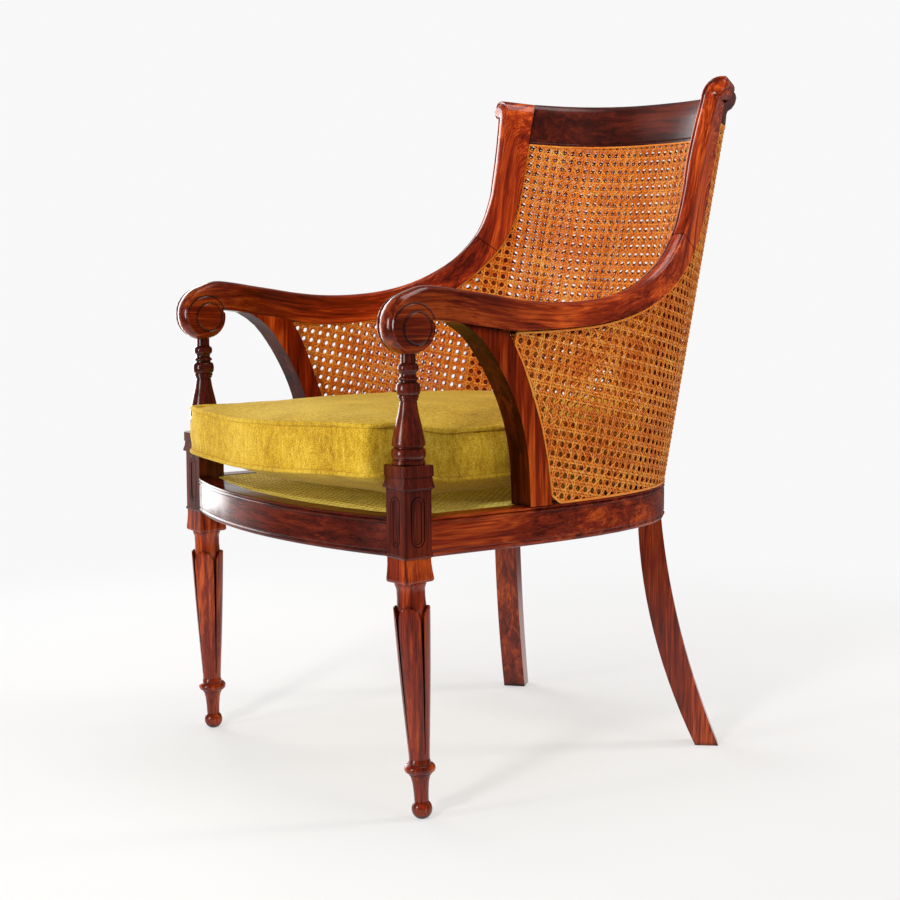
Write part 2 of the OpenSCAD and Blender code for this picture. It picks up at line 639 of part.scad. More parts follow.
// Stile: its foot stands hidden between the two layers of cane
stile_tenon_z = seat_h - 18;
stile_tenon_w = tub_at(stile_y + stile_depth / 2);
module stile_tenon(gap) {
    at_tub(stile_tenon_w, stile_tenon_z - gap, 0)
        translate([-5 - gap, -12 - gap, 0])
            cube([10 + 2 * gap, 24 + 2 * gap, seat_h - stile_tenon_z + 3 + gap]);
}
stile_end = let (a = arm_ring(stile_stations[0]), b = arm_ring(stile_stations[1]))
    [for (k = [0:len(a) - 1]) lerp(a[k], b[k], 0.08)];
module stile_foot() {
    half = post_t / 2;
    front_w = tub_at(stile_y);
    rear_w = tub_at(border_y - 2);
    top = elbow_z - 38;
    loft([for (z = [seat_h, top])
        [tub(front_w, z, -half), tub(rear_w, z, -half), tub(rear_w, z, half), tub(front_w, z, half)]]);
}
crest_tenon_h = 28;
crest_mid_z = back_h - 8 - crest_h / 2;
module crest_tenon(gap) {
    p = tub(border_w, crest_mid_z, 0);
    n = tub_normal(border_w);
    translate(p) rotate([0, 0, atan2(n.y, n.x)])
        translate([-4 - gap, -13 - gap, -crest_tenon_h / 2 - gap])
            cube([8 + 2 * gap, 19 + gap, crest_tenon_h + 2 * gap]);
}
module back_stile() {
    color(mahogany) difference() {
        union() {
            loft(concat([stile_end], [for (k = [1:len(stile_stations) - 1])
                arm_ring(stile_stations[k])], roll_rings));
            difference() {
                stile_foot();
                above_underside(joint_n - 8, joint_n);
            }
            stile_tenon(0);
        }
        crest_tenon(joint_gap);
    }
}
module back_stile_left() { on_left() back_stile(); }
module back_stile_right() { on_right() back_stile(); }

// Arm support: a curved bracket from the side rail to the underside of the arm
support_h = scroll_z - seat_h + 14;
support_front = [[0, 0], [2, 0.19], [6, 0.315], [14, 0.447], [26, 0.57], [41, 0.685],
    [56, 0.78], [76, 0.88], [103, 0.955], [137, 1]];
support_rear = [[0, 0], [6, 0.172], [13, 0.315], [21, 0.45], [31, 0.56], [42, 0.68], [56, 0.81],
    [72, 0.926], [86, 1.05]];
function support_edge(y, table) =
    spline([for (s = table) [y - s.x, seat_h + s.y * support_h]], 2);
support_rear_line = support_edge(support_y + support_d, support_rear);
module support_tenon(gap) {
    translate([side_tenon_x - 6 - gap, support_y + 7 - gap, seat_h - 20 - gap])
        cube([12 + 2 * gap, support_d - 12 + 2 * gap, 23 + gap]);
}
module arm_support() {
    front = support_edge(support_y, support_front);
    rear = support_rear_line;
    tip = front[len(front) - 1];
    color(mahogany_dark) union() {
        difference() {
            translate([post_x - block_w / 2, 0, 0]) rotate([90, 0, 90]) linear_extrude(block_w)
                polygon(concat(front, [tip + [0, 25], [rear[len(rear) - 1].x, tip.y + 25]],
                    [for (k = [len(rear) - 1:-1:0]) rear[k]]));
            above_underside(scroll_n - 1, scroll_n + 15);
        }
        support_tenon(0);
    }
}
module arm_support_left() { on_left() arm_support(); }
module arm_support_right() { on_right() arm_support(); }

// Rear leg: a sabre curve in the plane of the tub's normal
rear_leg_off = rail_in + rail_t / 2 - 1.5;
function sabre(s) = rear_splay * (s - 0.75 * s * (1 - s));
module rear_leg_tenon(gap) {
    at_tub(rear_leg_phi, rail_z - 1, rear_leg_off) translate([-6 - gap, -11 - gap, 0])
        cube([12 + 2 * gap, 22 + 2 * gap, 22 + gap]);
}
module rear_leg() {
    steps = 14;
    function half_at(s) = rear_leg_d / 2 + 2.6 * 4 * s * (1 - s);
    front = [for (k = [0:steps]) let (s = k / steps)
        [sabre(s) - half_at(s), (rail_z - joint_gap / 2) * (1 - s)]];
    rear = [for (k = [steps:-1:0]) let (s = k / steps)
        [sabre(s) + half_at(s), (rail_z - joint_gap / 2) * (1 - s)]];
    color(mahogany) union() {
        at_tub(rear_leg_phi, 0, rear_leg_off) rotate([90, 0, 0])
            linear_extrude(rear_leg_w, center = true) polygon(concat(front, rear));
        rear_leg_tenon(0);
    }
}
module rear_leg_left() { on_left() rear_leg(); }
module rear_leg_right() { on_right() rear_leg(); }

// Crest rail: a board bent to the tub, rolled over along its top
function crest_top(w) = back_h - 6.5
    - crest_dip * (tub_plan(w, 0).y - border_y) / (tub_start + tub_depth - border_y);
crest_face = cane_out + 0.5;
// Rebate along the crest rail's outer foot that takes the outer cane
crest_rebate = 10.5;
crest_lip = cane_in - 1;
function crest_ring(w) =
    let (top = crest_top(w), foot = top - crest_h, r = crest_roll_r, centre = 6)
    concat([[crest_lip, foot], [crest_lip, foot + crest_rebate],
            [crest_face, foot + crest_rebate + 1.2], [crest_face, foot + crest_rebate + 4],
            [crest_face - 1, foot + crest_rebate + 16]],
        arc([centre, top - r], r, -65, 160, 9),
        [[-crest_face + 1.2, top - 26], [-crest_face, foot + 5], [-crest_face + 0.8, foot + 4],
         [-crest_face, foot + 3], [-crest_face, foot]]);
crest_rings = [for (k = [0:20])
    let (w = lerp(border_w + 0.06, 180 - border_w - 0.06, k / 20))
    [for (s = crest_ring(w)) tub(w, s.y, s.x)]];
module crest_rail() {
    color(mahogany_dark) in_place() union() {
        loft(crest_rings, laddered = true);
        for (side = [0, 1]) mirror([side, 0, 0]) crest_tenon(0);
    }
}

// Cane: one sheet round the outside of the tub and one round the inside
cane_gap = 0.6;
cane_foot = seat_h + cane_gap / 2;
// Each column is a place along the tub, a lowest height and a highest height. The outer
// sheet has side 1 and the inner sheet side -1, because the arm's underside slopes.
function under_arm(side) = [for (i = [scroll_n + 4:edge_n - 1])
    let (s = arm_station(i), share = side * cane_off / under_half(s[0]),
         u = s[1] - share * under_tilt(s[0]) * unit(s[1] - s[0]))
    [tub_at(plan_y(u)), u.y]];
support_limit = [for (p = support_rear_line) [tub_at(plan_y(p) + 2.1), p.y]];
support_foot_w = tub_at(support_y + support_d + 1);
function side_columns(side) = [for (c = under_arm(side))
    let (low = c.x < support_foot_w ? lookup(c.x, support_limit) : cane_foot)
    if (c.y - low > 12 && c.x < border_w - 0.3) [c.x, max(low, cane_foot), c.y - 2 * cane_gap]];
function back_columns(side) = [for (k = [0:18])
    let (w = lerp(border_w + 0.1, 180 - border_w - 0.1, k / 18))
    [w, cane_foot, crest_top(w) - crest_h + crest_rebate * max(0, side) - cane_gap]];
function elbow_column(side) =
    [border_w + 0.06, cane_foot, lookup(border_w - 0.3, under_arm(side)) - 2];
function mirrored(columns) =
    [for (k = [len(columns) - 1:-1:0]) [180 - columns[k].x, columns[k].y, columns[k].z]];
module cane_sheet(near, far, side) {
    left = concat(side_columns(side), [elbow_column(side)]);
    loft([for (c = concat(left, back_columns(side), mirrored(left)))
        [tub(c.x, c.y, far), tub(c.x, c.z, far), tub(c.x, c.z, near), tub(c.x, c.y, near)]]);
}
module outer_cane() { color(rattan) in_place() cane_sheet(cane_in, cane_out, 1); }
module inner_cane() { color(rattan) in_place() cane_sheet(-cane_out, -cane_in, -1); }

// Seat cane, laid in the rebate of the rails and notched round the posts and supports
module seat_cane() {
    edge = seat_edge - cane_gap;
    corner = tub_half_w + edge;
    inset = rail_out - edge;
    side = [for (w = [0, each [6:6:66], each [rail_joint:4:180 - rail_joint], each [114:6:180]])
        tub_plan(w, edge)];
    front = [for (k = [-10:10]) let (x = -corner * k / 10) [-x, front_y(x, inset)]];
    color(rattan) in_place() translate([0, 0, seat_h - rebate_d + 0.05])
        linear_extrude(cane_t) difference() {
            polygon(concat(front, side));
            for (x = [-1, 1]) {
                translate([x * post_x, 0]) square(block_w + 2 * cane_gap, center = true);
                translate([x * post_x, support_y + support_d / 2])
                    square([block_w + 2 * cane_gap, support_d + 2 * cane_gap], center = true);
            }
        }
}

// Seat cushion: a box cushion with a crown above and below its two seams, drawn in at
// its sides, with a tongue that comes forward between the posts
cushion_w = post_x - block_w / 2 - cushion_gap;
tongue_w = cushion_w - 4;
cushion_low = seat_h - rebate_d + cane_t + 0.97 * crown_under + 0.3;
cushion_front = front_outer - front_bow - cushion_overhang;
function cushion_y(x) = let (r = front_radius) cushion_front + r - sqrt(r * r - x * x);
function cushion_side(w) = let (p = tub_plan(w, -cane_out - cushion_gap))
    [sign(p.x) * min(abs(p.x), cushion_w), p.y];
cushion_half = concat(
    [for (k = [0:7]) let (x = (tongue_w - 6) * k / 7) [x, cushion_y(x)]],
    [[tongue_w, cushion_y(tongue_w) + 8], [tongue_w, 0], [tongue_w, block_w / 2 + 16],
     [cushion_w, block_w / 2 + 30], [cushion_w, 100]],
    [for (w = [4:8:84]) cushion_side(w)]);
cushion_outline = concat(cushion_half, [[0, cushion_side(90).y]],
    [for (k = [len(cushion_half) - 1:-1:1]) [-cushion_half[k].x, cushion_half[k].y]]);
cushion_mid = [0, (cushion_front + tub_start + tub_depth) / 2];
// Share of the outline, and height, from the middle of the underside to the crown
cushion_rings = [
    [0.30, -0.97 * crown_under], [0.58, -0.78 * crown_under], [0.80, -0.48 * crown_under],
    [0.93, -0.2 * crown_under], [0.985, 0], [0.992, 0.12 * cushion_t], [1, 0.34 * cushion_t],
    [1, 0.62 * cushion_t], [0.992, 0.88 * cushion_t], [0.985, cushion_t],
    [0.93, cushion_t + 0.38 * crown_top], [0.80, cushion_t + 0.74 * crown_top],
    [0.58, cushion_t + 0.94 * crown_top], [0.30, cushion_t + crown_top]
];
// Behind its front edge the cushion's seams lie a little lower, as at the sides
function cushion_drop(y, h) = ease((y + 10) / 50)
    * (h < 0 ? 3 * max(0, 1 + h / crown_under) : h < cushion_t ? 3 + 5 * h / cushion_t
        : 8 * max(0, 1 - (h - cushion_t) / crown_top));
module seat_cushion() {
    last = len(cushion_outline) - 1;
    color(ochre) in_place() loft([for (r = cushion_rings) [for (k = [last:-1:0])
        let (q = cushion_mid + r.x * (cushion_outline[k] - cushion_mid))
        [q.x, q.y, cushion_low + r.y - cushion_drop(q.y, r.y)]]]);
}

// Middle of the chair from front to back, where the frame's origin lies
front_reach = cushion_front;
back_reach = max([for (p = crest_rings[10]) p.y]);
mid_y = (front_reach + back_reach) / 2;
echo(front_reach = front_reach, back_reach = back_reach, mid_y = mid_y, border_w = border_w);

front_leg_left();
front_leg_right();
arm_post_left();
arm_post_right();
front_rail();
side_rail_left();
side_rail_right();
back_rail();
rear_leg_left();
rear_leg_right();
corner_block_front_left();
corner_block_front_right();
corner_block_rear_left();
corner_block_rear_right();
arm_support_left();
arm_support_right();
arm_left();
arm_right();
back_stile_left();
back_stile_right();
crest_rail();
outer_cane();
inner_cane();
seat_cane();
seat_cushion();
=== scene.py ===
# %% [markdown]
# # A cane tub chair, dressed for its portrait
#
# The joiner's work, every rail, post, arm and leg, comes in as a fixed frame. This lesson
# adds what a joiner doesn't make: the polish, the woven cane and the stuffed cushion.
# Everything is in metres, in the frame's own axes: +X to the sitter's left, +Y to the back.

# %% Load the frame
import math

import bpy
import numpy as np
from mathutils import Matrix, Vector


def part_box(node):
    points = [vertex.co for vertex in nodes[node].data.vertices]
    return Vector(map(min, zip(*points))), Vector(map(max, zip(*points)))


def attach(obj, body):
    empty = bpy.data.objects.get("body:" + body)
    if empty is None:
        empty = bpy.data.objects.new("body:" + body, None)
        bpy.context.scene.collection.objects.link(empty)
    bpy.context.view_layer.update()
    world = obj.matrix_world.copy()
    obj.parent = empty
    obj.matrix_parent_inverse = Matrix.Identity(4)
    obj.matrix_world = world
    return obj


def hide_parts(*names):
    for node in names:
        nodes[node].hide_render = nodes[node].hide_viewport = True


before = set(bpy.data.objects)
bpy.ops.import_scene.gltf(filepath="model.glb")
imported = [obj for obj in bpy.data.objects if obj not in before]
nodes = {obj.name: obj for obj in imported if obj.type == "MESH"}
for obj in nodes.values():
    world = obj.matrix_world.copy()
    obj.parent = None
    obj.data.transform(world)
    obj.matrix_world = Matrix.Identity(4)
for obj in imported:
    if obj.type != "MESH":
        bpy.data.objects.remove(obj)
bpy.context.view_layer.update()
post_low, post_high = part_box("arm_post_left")
POST_Y = (post_low[1] + post_high[1]) / 2
SEAT_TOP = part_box("side_rail_left")[1][2]
START = 0.107  # from the posts' middle line back to where the sides begin to bend
print("nodes", len(nodes), "post line at y", round(POST_Y, 4), "rail top", round(SEAT_TOP, 4),
      "tub bends", START, "m behind the posts")

# %% [markdown]
# ## The camera
#
# The portrait was taken from the sitter's left, a little above the arms, with a long lens.
# The camera is placed by a position and the direction it looks in. A rotation matrix built
# from its right, up and backward directions leaves nothing to be guessed by eye.

# %% Place the camera
def camera_matrix(place, azimuth, pitch, roll):
    """Columns are the camera's right, up and backward directions; roll turns the first two."""
    ahead = np.array([-math.sin(azimuth) * math.cos(pitch),
                      math.cos(azimuth) * math.cos(pitch), -math.sin(pitch)])
    right = np.array([math.cos(azimuth), math.sin(azimuth), 0.0])
    up = np.cross(right, ahead)
    turned = math.cos(roll) * right + math.sin(roll) * up
    upright = -math.sin(roll) * right + math.cos(roll) * up
    columns = np.array([turned, upright, -ahead, place]).T
    return Matrix([list(row) for row in columns] + [[0, 0, 0, 1]])


FOCAL_PIXELS, FRAME_PIXELS = 1816.65, 900
lens = bpy.data.cameras.new("portrait_camera")
lens.sensor_width = 36.0
lens.lens = FOCAL_PIXELS / FRAME_PIXELS * lens.sensor_width
camera = bpy.data.objects.new("portrait_camera", lens)
bpy.context.scene.collection.objects.link(camera)
camera.matrix_world = camera_matrix((2.05567, -1.22170 + POST_Y, 0.68580),
                                    math.radians(54.455185), math.radians(6.09068),
                                    math.radians(-0.136))
bpy.context.scene.camera = camera
print("camera at", [round(c, 3) for c in camera.location], "lens", round(lens.lens, 1), "mm")

# %% [markdown]
# ## Floor, surroundings and lights
#
# The chair stands on a seamless white floor. The surroundings are white wherever the camera
# or a reflection sees them, and dimmer for the light they give, so colours keep their depth.
# A reflection that looks away from the window side finds the dimmer part of the room.
# The floor does the same: to the eye it is half white of its own and half diffuse, which
# still takes the soft shadows under the legs, and further out it fades to the plain white
# of the paper behind the chair, so no horizon shows. Three soft boxes, in front, at the
# window and on top, are the ones that the polish mirrors. The others only give light.

# %% Small helpers for node trees
def new_tree(owner):
    """Empties the owner's node tree and returns the tree with a function that adds nodes."""
    owner.use_nodes = True
    tree = owner.node_tree
    tree.nodes.clear()

    def add(kind, inputs=None, **settings):
        node = tree.nodes.new("ShaderNode" + kind)
        for key, value in settings.items():
            setattr(node, key, value)
        for key, value in (inputs or {}).items():
            if isinstance(value, bpy.types.NodeSocket):
                tree.links.new(value, node.inputs[key])
            else:
                node.inputs[key].default_value = value
        return node

    return tree, add


def calc(add, operation, *values):
    """The result of a Math node on one to three sockets or numbers."""
    return add("Math", dict(enumerate(values)), operation=operation).outputs[0]


def remap(add, value, start, end, low=0.0, high=1.0, way="LINEAR"):
    """A value that goes from start to end, turned into low to high and held beyond them."""
    return add("MapRange", {"Value": value, "From Min": start, "From Max": end,
                            "To Min": low, "To Max": high},
               interpolation_type=way).outputs[0]


def seen_by_eye(add):
    """1 for rays of the camera, of a reflection or through glass, and 0 for the rest."""
    path = add("LightPath").outputs
    first = calc(add, "MAXIMUM", path["Is Camera Ray"], path["Is Glossy Ray"])
    return calc(add, "MAXIMUM", first, path["Is Transmission Ray"])


def paper_white(add, direction):
    """Strength of the white paper: PAPER everywhere, but a reflection finds it dimmer the
    further it looks away from the window side, which is -X."""
    side = add("VectorMath", {0: direction, 1: (-1.0, 0.0, 0.0)}, operation="DOT_PRODUCT")
    loss = remap(add, side.outputs["Value"], 0.7, 1.0, PAPER - DIM_PAPER, 0.0, "SMOOTHSTEP")
    lost = calc(add, "MULTIPLY", add("LightPath").outputs["Is Glossy Ray"], loss)
    return calc(add, "SUBTRACT", PAPER, lost)


# %% Surroundings and floor
PAPER, DIM_PAPER = 0.94, 0.12
world = bpy.data.worlds.new("studio")
bpy.context.scene.world = world
tree, add = new_tree(world)
dim = add("Background", {"Color": (1.0, 0.98, 0.96, 1.0), "Strength": 0.28})
white = add("Background", {"Color": (1.0, 1.0, 1.0, 1.0),
                           "Strength": paper_white(add, add("TexCoord").outputs["Generated"])})
pick = add("MixShader", {0: seen_by_eye(add), 1: dim.outputs[0], 2: white.outputs[0]})
add("OutputWorld", {"Surface": pick.outputs[0]})

floor_material = bpy.data.materials.new("white_floor")
tree, add = new_tree(floor_material)
matt = add("BsdfDiffuse", {"Color": (0.80, 0.80, 0.80, 1.0)})
pale = add("BsdfDiffuse", {"Color": (0.42, 0.42, 0.42, 1.0)})
lift = add("Emission", {"Color": (1.0, 1.0, 1.0, 1.0), "Strength": 0.5})
both = add("AddShader", {0: pale.outputs[0], 1: lift.outputs[0]})
away = add("VectorMath", {0: add("TexCoord").outputs["Object"]}, operation="LENGTH")
outward = add("VectorMath", {0: add("TexCoord").outputs["Object"]}, operation="NORMALIZE")
paper = add("Emission", {"Color": (1.0, 1.0, 1.0, 1.0),
                         "Strength": paper_white(add, outward.outputs[0])})
fade = remap(add, away.outputs["Value"], 0.6, 1.7, way="SMOOTHSTEP")
near = add("MixShader", {0: fade, 1: both.outputs[0], 2: paper.outputs[0]})
pick = add("MixShader", {0: seen_by_eye(add), 1: matt.outputs[0], 2: near.outputs[0]})
add("OutputMaterial", {"Surface": pick.outputs[0]})

floor_mesh = bpy.data.meshes.new("floor")
floor_mesh.from_pydata([(-9, -9, 0), (9, -9, 0), (9, 9, 0), (-9, 9, 0)], [], [(0, 1, 2, 3)])
floor_mesh.materials.append(floor_material)
floor = bpy.data.objects.new("floor", floor_mesh)
bpy.context.scene.collection.objects.link(floor)


# %% Lights
def soft_lamp(name, place, target, size, power, warmth=(1.0, 1.0, 1.0), shines=True):
    """A soft box, size wide and high, turned to face its target; polish mirrors it or not."""
    data = bpy.data.lights.new(name, "AREA")
    data.shape, data.size, data.size_y = "RECTANGLE", size[0], size[1]
    data.energy, data.color = power, warmth
    lamp = bpy.data.objects.new(name, data)
    bpy.context.scene.collection.objects.link(lamp)
    lamp.visible_camera, lamp.visible_glossy = False, shines
    away = np.array(place, float) - np.array(target, float)
    away /= np.linalg.norm(away)
    side = np.cross([0.0, 0.0, 1.0], away)
    side /= np.linalg.norm(side)
    columns = np.array([side, np.cross(away, side), away, place]).T
    lamp.matrix_world = Matrix([list(row) for row in columns] + [[0, 0, 0, 1]])
    return lamp


heart = (0.0, 0.0, 0.5)
soft_lamp("key", (1.2, -2.45, 1.85), heart, (0.3, 0.3), 32, (1.0, 0.98, 0.95), shines=False)
soft_lamp("front", (-0.1, -2.55, 0.72), heart, (0.45, 1.1), 22, (1.0, 0.98, 0.95))
soft_lamp("window", (-2.4, -0.15, 0.8), heart, (1.5, 1.9), 45)
soft_lamp("side", (2.4, 0.5, 1.6), heart, (0.8, 0.8), 7, (1.0, 0.97, 0.93), shines=False)
soft_lamp("behind", (1.3, 2.4, 1.5), heart, (0.5, 0.9), 26, (1.0, 0.97, 0.92), shines=False)
soft_lamp("top", (0.0, 0.2, 2.8), heart, (1.4, 1.4), 20)

# %% [markdown]
# ## Polished mahogany
#
# Old mahogany is red-brown with darker stripes that run with the board, fine pores, and
# dark wax left in the corners of its mouldings. Those corners, and every place that nearby
# wood hides, are also darkened as painted shade. A photograph of wood would have to be bent
# round each turning, so the grain is worked out in three dimensions instead: bands that are
# stretched along the board and bent by noise cut through each piece as real grain does.
# The polish is a smooth lacquer whose roughness changes a little from place to place.
# The arms are sawn so that the figure follows their sweep up into the stiles. For them the
# place is first turned into a distance from the sweep and a run along it, with curves read
# from the arm's own corners. The rails that go round the tub are turned into a run too.

# %% The sweep of the arms
def corners_of(piece):
    """The object's vertices as one array, in the frame's axes."""
    flat = np.empty(len(piece.data.vertices) * 3, np.float32)
    piece.data.vertices.foreach_get("co", flat)
    return flat.reshape(-1, 3).astype(float)


def sweep_line(count=26):
    """Columns y, height, cosine of the slope and run, of the upper line of arm and stile.

    The height is the highest corner in each slice of y; in front of the crown it is level.
    """
    p = np.concatenate([corners_of(nodes[name]) for name in ("arm_left", "back_stile_left")])
    p = p[p[:, 2] < 0.9]
    y = np.linspace(p[:, 1].min(), p[:, 1].max(), count)
    slice_of = np.clip(np.round((p[:, 1] - y[0]) / (y[1] - y[0])).astype(int), 0, count - 1)
    top = np.zeros(count)
    np.maximum.at(top, slice_of, p[:, 2])
    crown = top[:count // 3].argmax()
    top[:crown] = top[crown]
    top = np.interp(y, y[top > 0], top[top > 0])
    slope = np.gradient(top, y)
    run = np.r_[0.0, np.cumsum(np.hypot(np.diff(y), np.diff(top)))]
    return y, top, 1.0 / np.hypot(1.0, slope), run


SWEEP = sweep_line()
EYE = (POST_Y + 0.0013, 0.6007)  # y and z of the middle of each arm's scroll
print("the sweep runs", round(float(SWEEP[3][-1]), 3), "m, crown at", round(float(SWEEP[1][0]), 3))


def curve_of(add, share, values):
    """A curve node that turns the share of the way in y into values, scaled back to size."""
    low, high = float(values.min()), float(values.max())
    node = add("FloatCurve", {"Value": share})
    points = node.mapping.curves[0].points
    heights = (values - low) / (high - low)
    points[0].location = (0.0, float(heights[0]))
    points[1].location = (1.0, float(heights[-1]))
    for k in range(1, len(values) - 1):
        points.new(k / (len(values) - 1), float(heights[k]))
    node.mapping.update()
    return calc(add, "MULTIPLY_ADD", node.outputs[0], high - low, low)


def along_the_sweep(add, coords):
    """Turns a place into (distance from the sweep, x, run along the sweep)."""
    y, top, cosine, run = SWEEP
    place = add("SeparateXYZ", {0: coords}).outputs
    share = remap(add, place[1], float(y[0]), float(y[-1]))
    above = calc(add, "SUBTRACT", place[2], curve_of(add, share, top))
    across = calc(add, "MULTIPLY", above, curve_of(add, share, cosine))
    return add("CombineXYZ", {0: across, 1: place[0], 2: curve_of(add, share, run)}).outputs[0]


# %% The run of the rails round the tub
RUN_OF_A_TURN = 0.36


def distance(add, across, along):
    """Length of the flat vector across, along."""
    flat = add("CombineXYZ", {0: across, 1: along}).outputs[0]
    return add("VectorMath", {0: flat}, operation="LENGTH").outputs["Value"]


def round_the_tub(add, coords):
    """Turns a place into (distance from the tub's middle, run round the tub, height).

    Beside the seat the run is y. Behind START it grows with the turn, 0.36 m a radian.
    """
    place = add("SeparateXYZ", {0: coords}).outputs
    beyond = calc(add, "SUBTRACT", place[1], POST_Y + START)
    behind, ahead = calc(add, "MAXIMUM", beyond, 0.0), calc(add, "MINIMUM", beyond, 0.0)
    turn = calc(add, "ARCTAN2", behind, place[0])
    run = calc(add, "MULTIPLY_ADD", turn, RUN_OF_A_TURN, ahead)
    out = distance(add, place[0], behind)
    return add("CombineXYZ", {0: out, 1: run, 2: place[2]}).outputs[0]


# %% Tone along the arms, and the carver's cuts in the scroll
RING, RING_CUT = 0.0195, 0.0017
SPIRAL, SPIRAL_GROWS, SPIRAL_CUT = 0.0255, 0.010, 0.0019


def tone_along_the_arm(add, coords):
    """Tone of the arms along their run: darker at the scroll, lighter towards the rear."""
    run = add("SeparateXYZ", {0: coords}).outputs[2]
    return remap(add, run, 0.07, 0.34, 0.58, 1.5, "SMOOTHSTEP")


def carved_scroll(add, coords):
    """Depth, 0 to 1, of the two cuts in the scroll's side: the ring and the volute's spiral.

    With r and the turn t (0 to 1, over the top from rear to front) about the scroll's eye,
    the ring lies at r = 19.5 mm and the spiral at r = 25.5 mm + 10 mm * t^1.5.
    """
    place = add("SeparateXYZ", {0: coords}).outputs
    back, up = (calc(add, "SUBTRACT", place[k + 1], EYE[k]) for k in (0, 1))
    radius = distance(add, back, up)
    share = remap(add, calc(add, "ARCTAN2", up, back), -0.3, 3.1)
    spiral = calc(add, "MULTIPLY_ADD", calc(add, "POWER", share, 1.5), SPIRAL_GROWS, SPIRAL)
    ring_cut, spiral_cut = (
        remap(add, calc(add, "ABSOLUTE", calc(add, "SUBTRACT", radius, line)),
              0.0, width, 1.0, 0.0, "SMOOTHSTEP")
        for line, width in ((RING, RING_CUT), (spiral, SPIRAL_CUT)))
    fades = calc(add, "MULTIPLY", remap(add, share, 0.0, 0.04), remap(add, share, 1.0, 0.9))
    deepest = calc(add, "MAXIMUM", ring_cut, calc(add, "MULTIPLY", spiral_cut, fades))
    facing = add("SeparateXYZ", {0: add("NewGeometry").outputs["Normal"]}).outputs[0]
    sideways = remap(add, calc(add, "ABSOLUTE", facing), 0.8, 0.95)
    return calc(add, "MULTIPLY", deepest, sideways)


# %% Helpers for colours
def three_tones(add, value, half, dark, middle, light):
    """A ramp from dark to light, whose ends lie half to each side of the middle tone."""
    ramp = add("ValToRGB", {"Fac": value})
    stops = ramp.color_ramp.elements
    stops[0].position, stops[0].color = 0.5 - half, (*dark, 1)
    stops[1].position, stops[1].color = 0.5 + half, (*light, 1)
    stops.new(0.5).color = (*middle, 1)
    return ramp.outputs[0]


def blended(add, share, first, second):
    """Between two grey layers, at that share of the way."""
    return add("Mix", {0: share, 2: first, 3: second}).outputs[0]


def darkened(add, colour, share):
    """The colour times a share of its light."""
    grey = add("CombineColor", {0: share, 1: share, 2: share}).outputs[0]
    return add("Mix", {0: 1.0, 6: colour, 7: grey}, data_type="RGBA",
               blend_type="MULTIPLY").outputs[2]


# %% The wood material
def mahogany(name, along, dark, middle, light, gloss=(0.11, 0.24), painted_front_shade=0.0, ior=1.42):
    """Broad patches, streaks and fine lines, all stretched along the board, with pores.

    The share for the front darkens the faces that look forwards: this is painted shade.
    """
    material = bpy.data.materials.new(name)
    tree, add = new_tree(material)
    coords = add("TexCoord").outputs["Object"]
    carving, arm_tone = None, 1.0
    if along == "sweep":
        carving = carved_scroll(add, coords)
        coords, along = along_the_sweep(add, coords), "z"
        arm_tone = tone_along_the_arm(add, coords)
    elif along == "round":
        coords, along = round_the_tub(add, coords), "y"

    def layer_of(scale, pull, detail, rough, bend=0.0):
        stretch = [1.0, 1.0, 1.0]
        stretch["xyz".index(along)] = pull
        board = add("Mapping", {"Vector": coords, "Scale": stretch}).outputs[0]
        return add("TexNoise", {"Vector": board, "Scale": scale, "Detail": detail,
                                "Roughness": rough, "Distortion": bend}).outputs["Fac"]

    patches = layer_of(24.0, 0.2, 3.0, 0.5, 0.6)
    streaks = layer_of(95.0, 0.07, 4.0, 0.6, 0.9)
    lines = layer_of(520.0, 0.03, 2.0, 0.5)
    pores = layer_of(900.0, 0.035, 2.0, 0.5)
    figure = blended(add, 0.2, blended(add, 0.55, patches, streaks), lines)
    tone = three_tones(add, figure, 0.11, dark, middle, light)
    # Occlusion within 7 mm darkens corners, crevices and joints: old wax there, and painted shade.
    corners = add("AmbientOcclusion", {"Distance": 0.007}, samples=6, only_local=False)
    wax_and_painted_shade = remap(add, corners.outputs["AO"], 0.45, 0.92, 0.1, 1.0)
    depth = calc(add, "MULTIPLY", remap(add, pores, 0.3, 0.48, 0.6, 1.0), wax_and_painted_shade)
    relief = add("Bump", {"Height": pores, "Strength": 0.1, "Distance": 0.0003})
    if carving is not None:
        # The cuts darken the colour: partly dark wax in them, partly painted shade of the grooves.
        left = calc(add, "MULTIPLY_ADD", carving, -0.85, 1.0)
        depth = calc(add, "MULTIPLY", calc(add, "MULTIPLY", depth, left), arm_tone)
        relief = add("Bump", {"Height": carving, "Strength": 1.0, "Distance": 0.0014,
                              "Normal": relief.outputs[0]}, invert=True)
    # Painted shade: the faces that look forwards are darkened by the front share.
    if painted_front_shade:
        facing = add("VectorMath", {0: add("NewGeometry").outputs["Normal"],
                                    1: (0.0, -1.0, 0.0)}, operation="DOT_PRODUCT")
        depth = calc(add, "MULTIPLY", depth, remap(add, facing.outputs["Value"], 0.15, 0.5,
                                                   1.0, 1.0 - painted_front_shade))
    wear = add("TexNoise", {"Vector": coords, "Scale": 11.0, "Detail": 4.0})
    roughness = remap(add, wear.outputs["Fac"], 0.3, 0.7, *gloss)
    skin = add("BsdfPrincipled", {"Base Color": darkened(add, tone, depth), "Roughness":
                                  roughness, "Normal": relief.outputs[0], "IOR": ior})
    add("OutputMaterial", {"Surface": skin.outputs[0]})
    return material


def srgb(red, green, blue):
    """A colour as it looks on screen, 0 to 255, turned into the linear numbers of a shader."""
    c = np.array([red, green, blue]) / 255.0
    return tuple(np.where(c > 0.04045, ((c + 0.055) / 1.055) ** 2.4, c / 12.92))


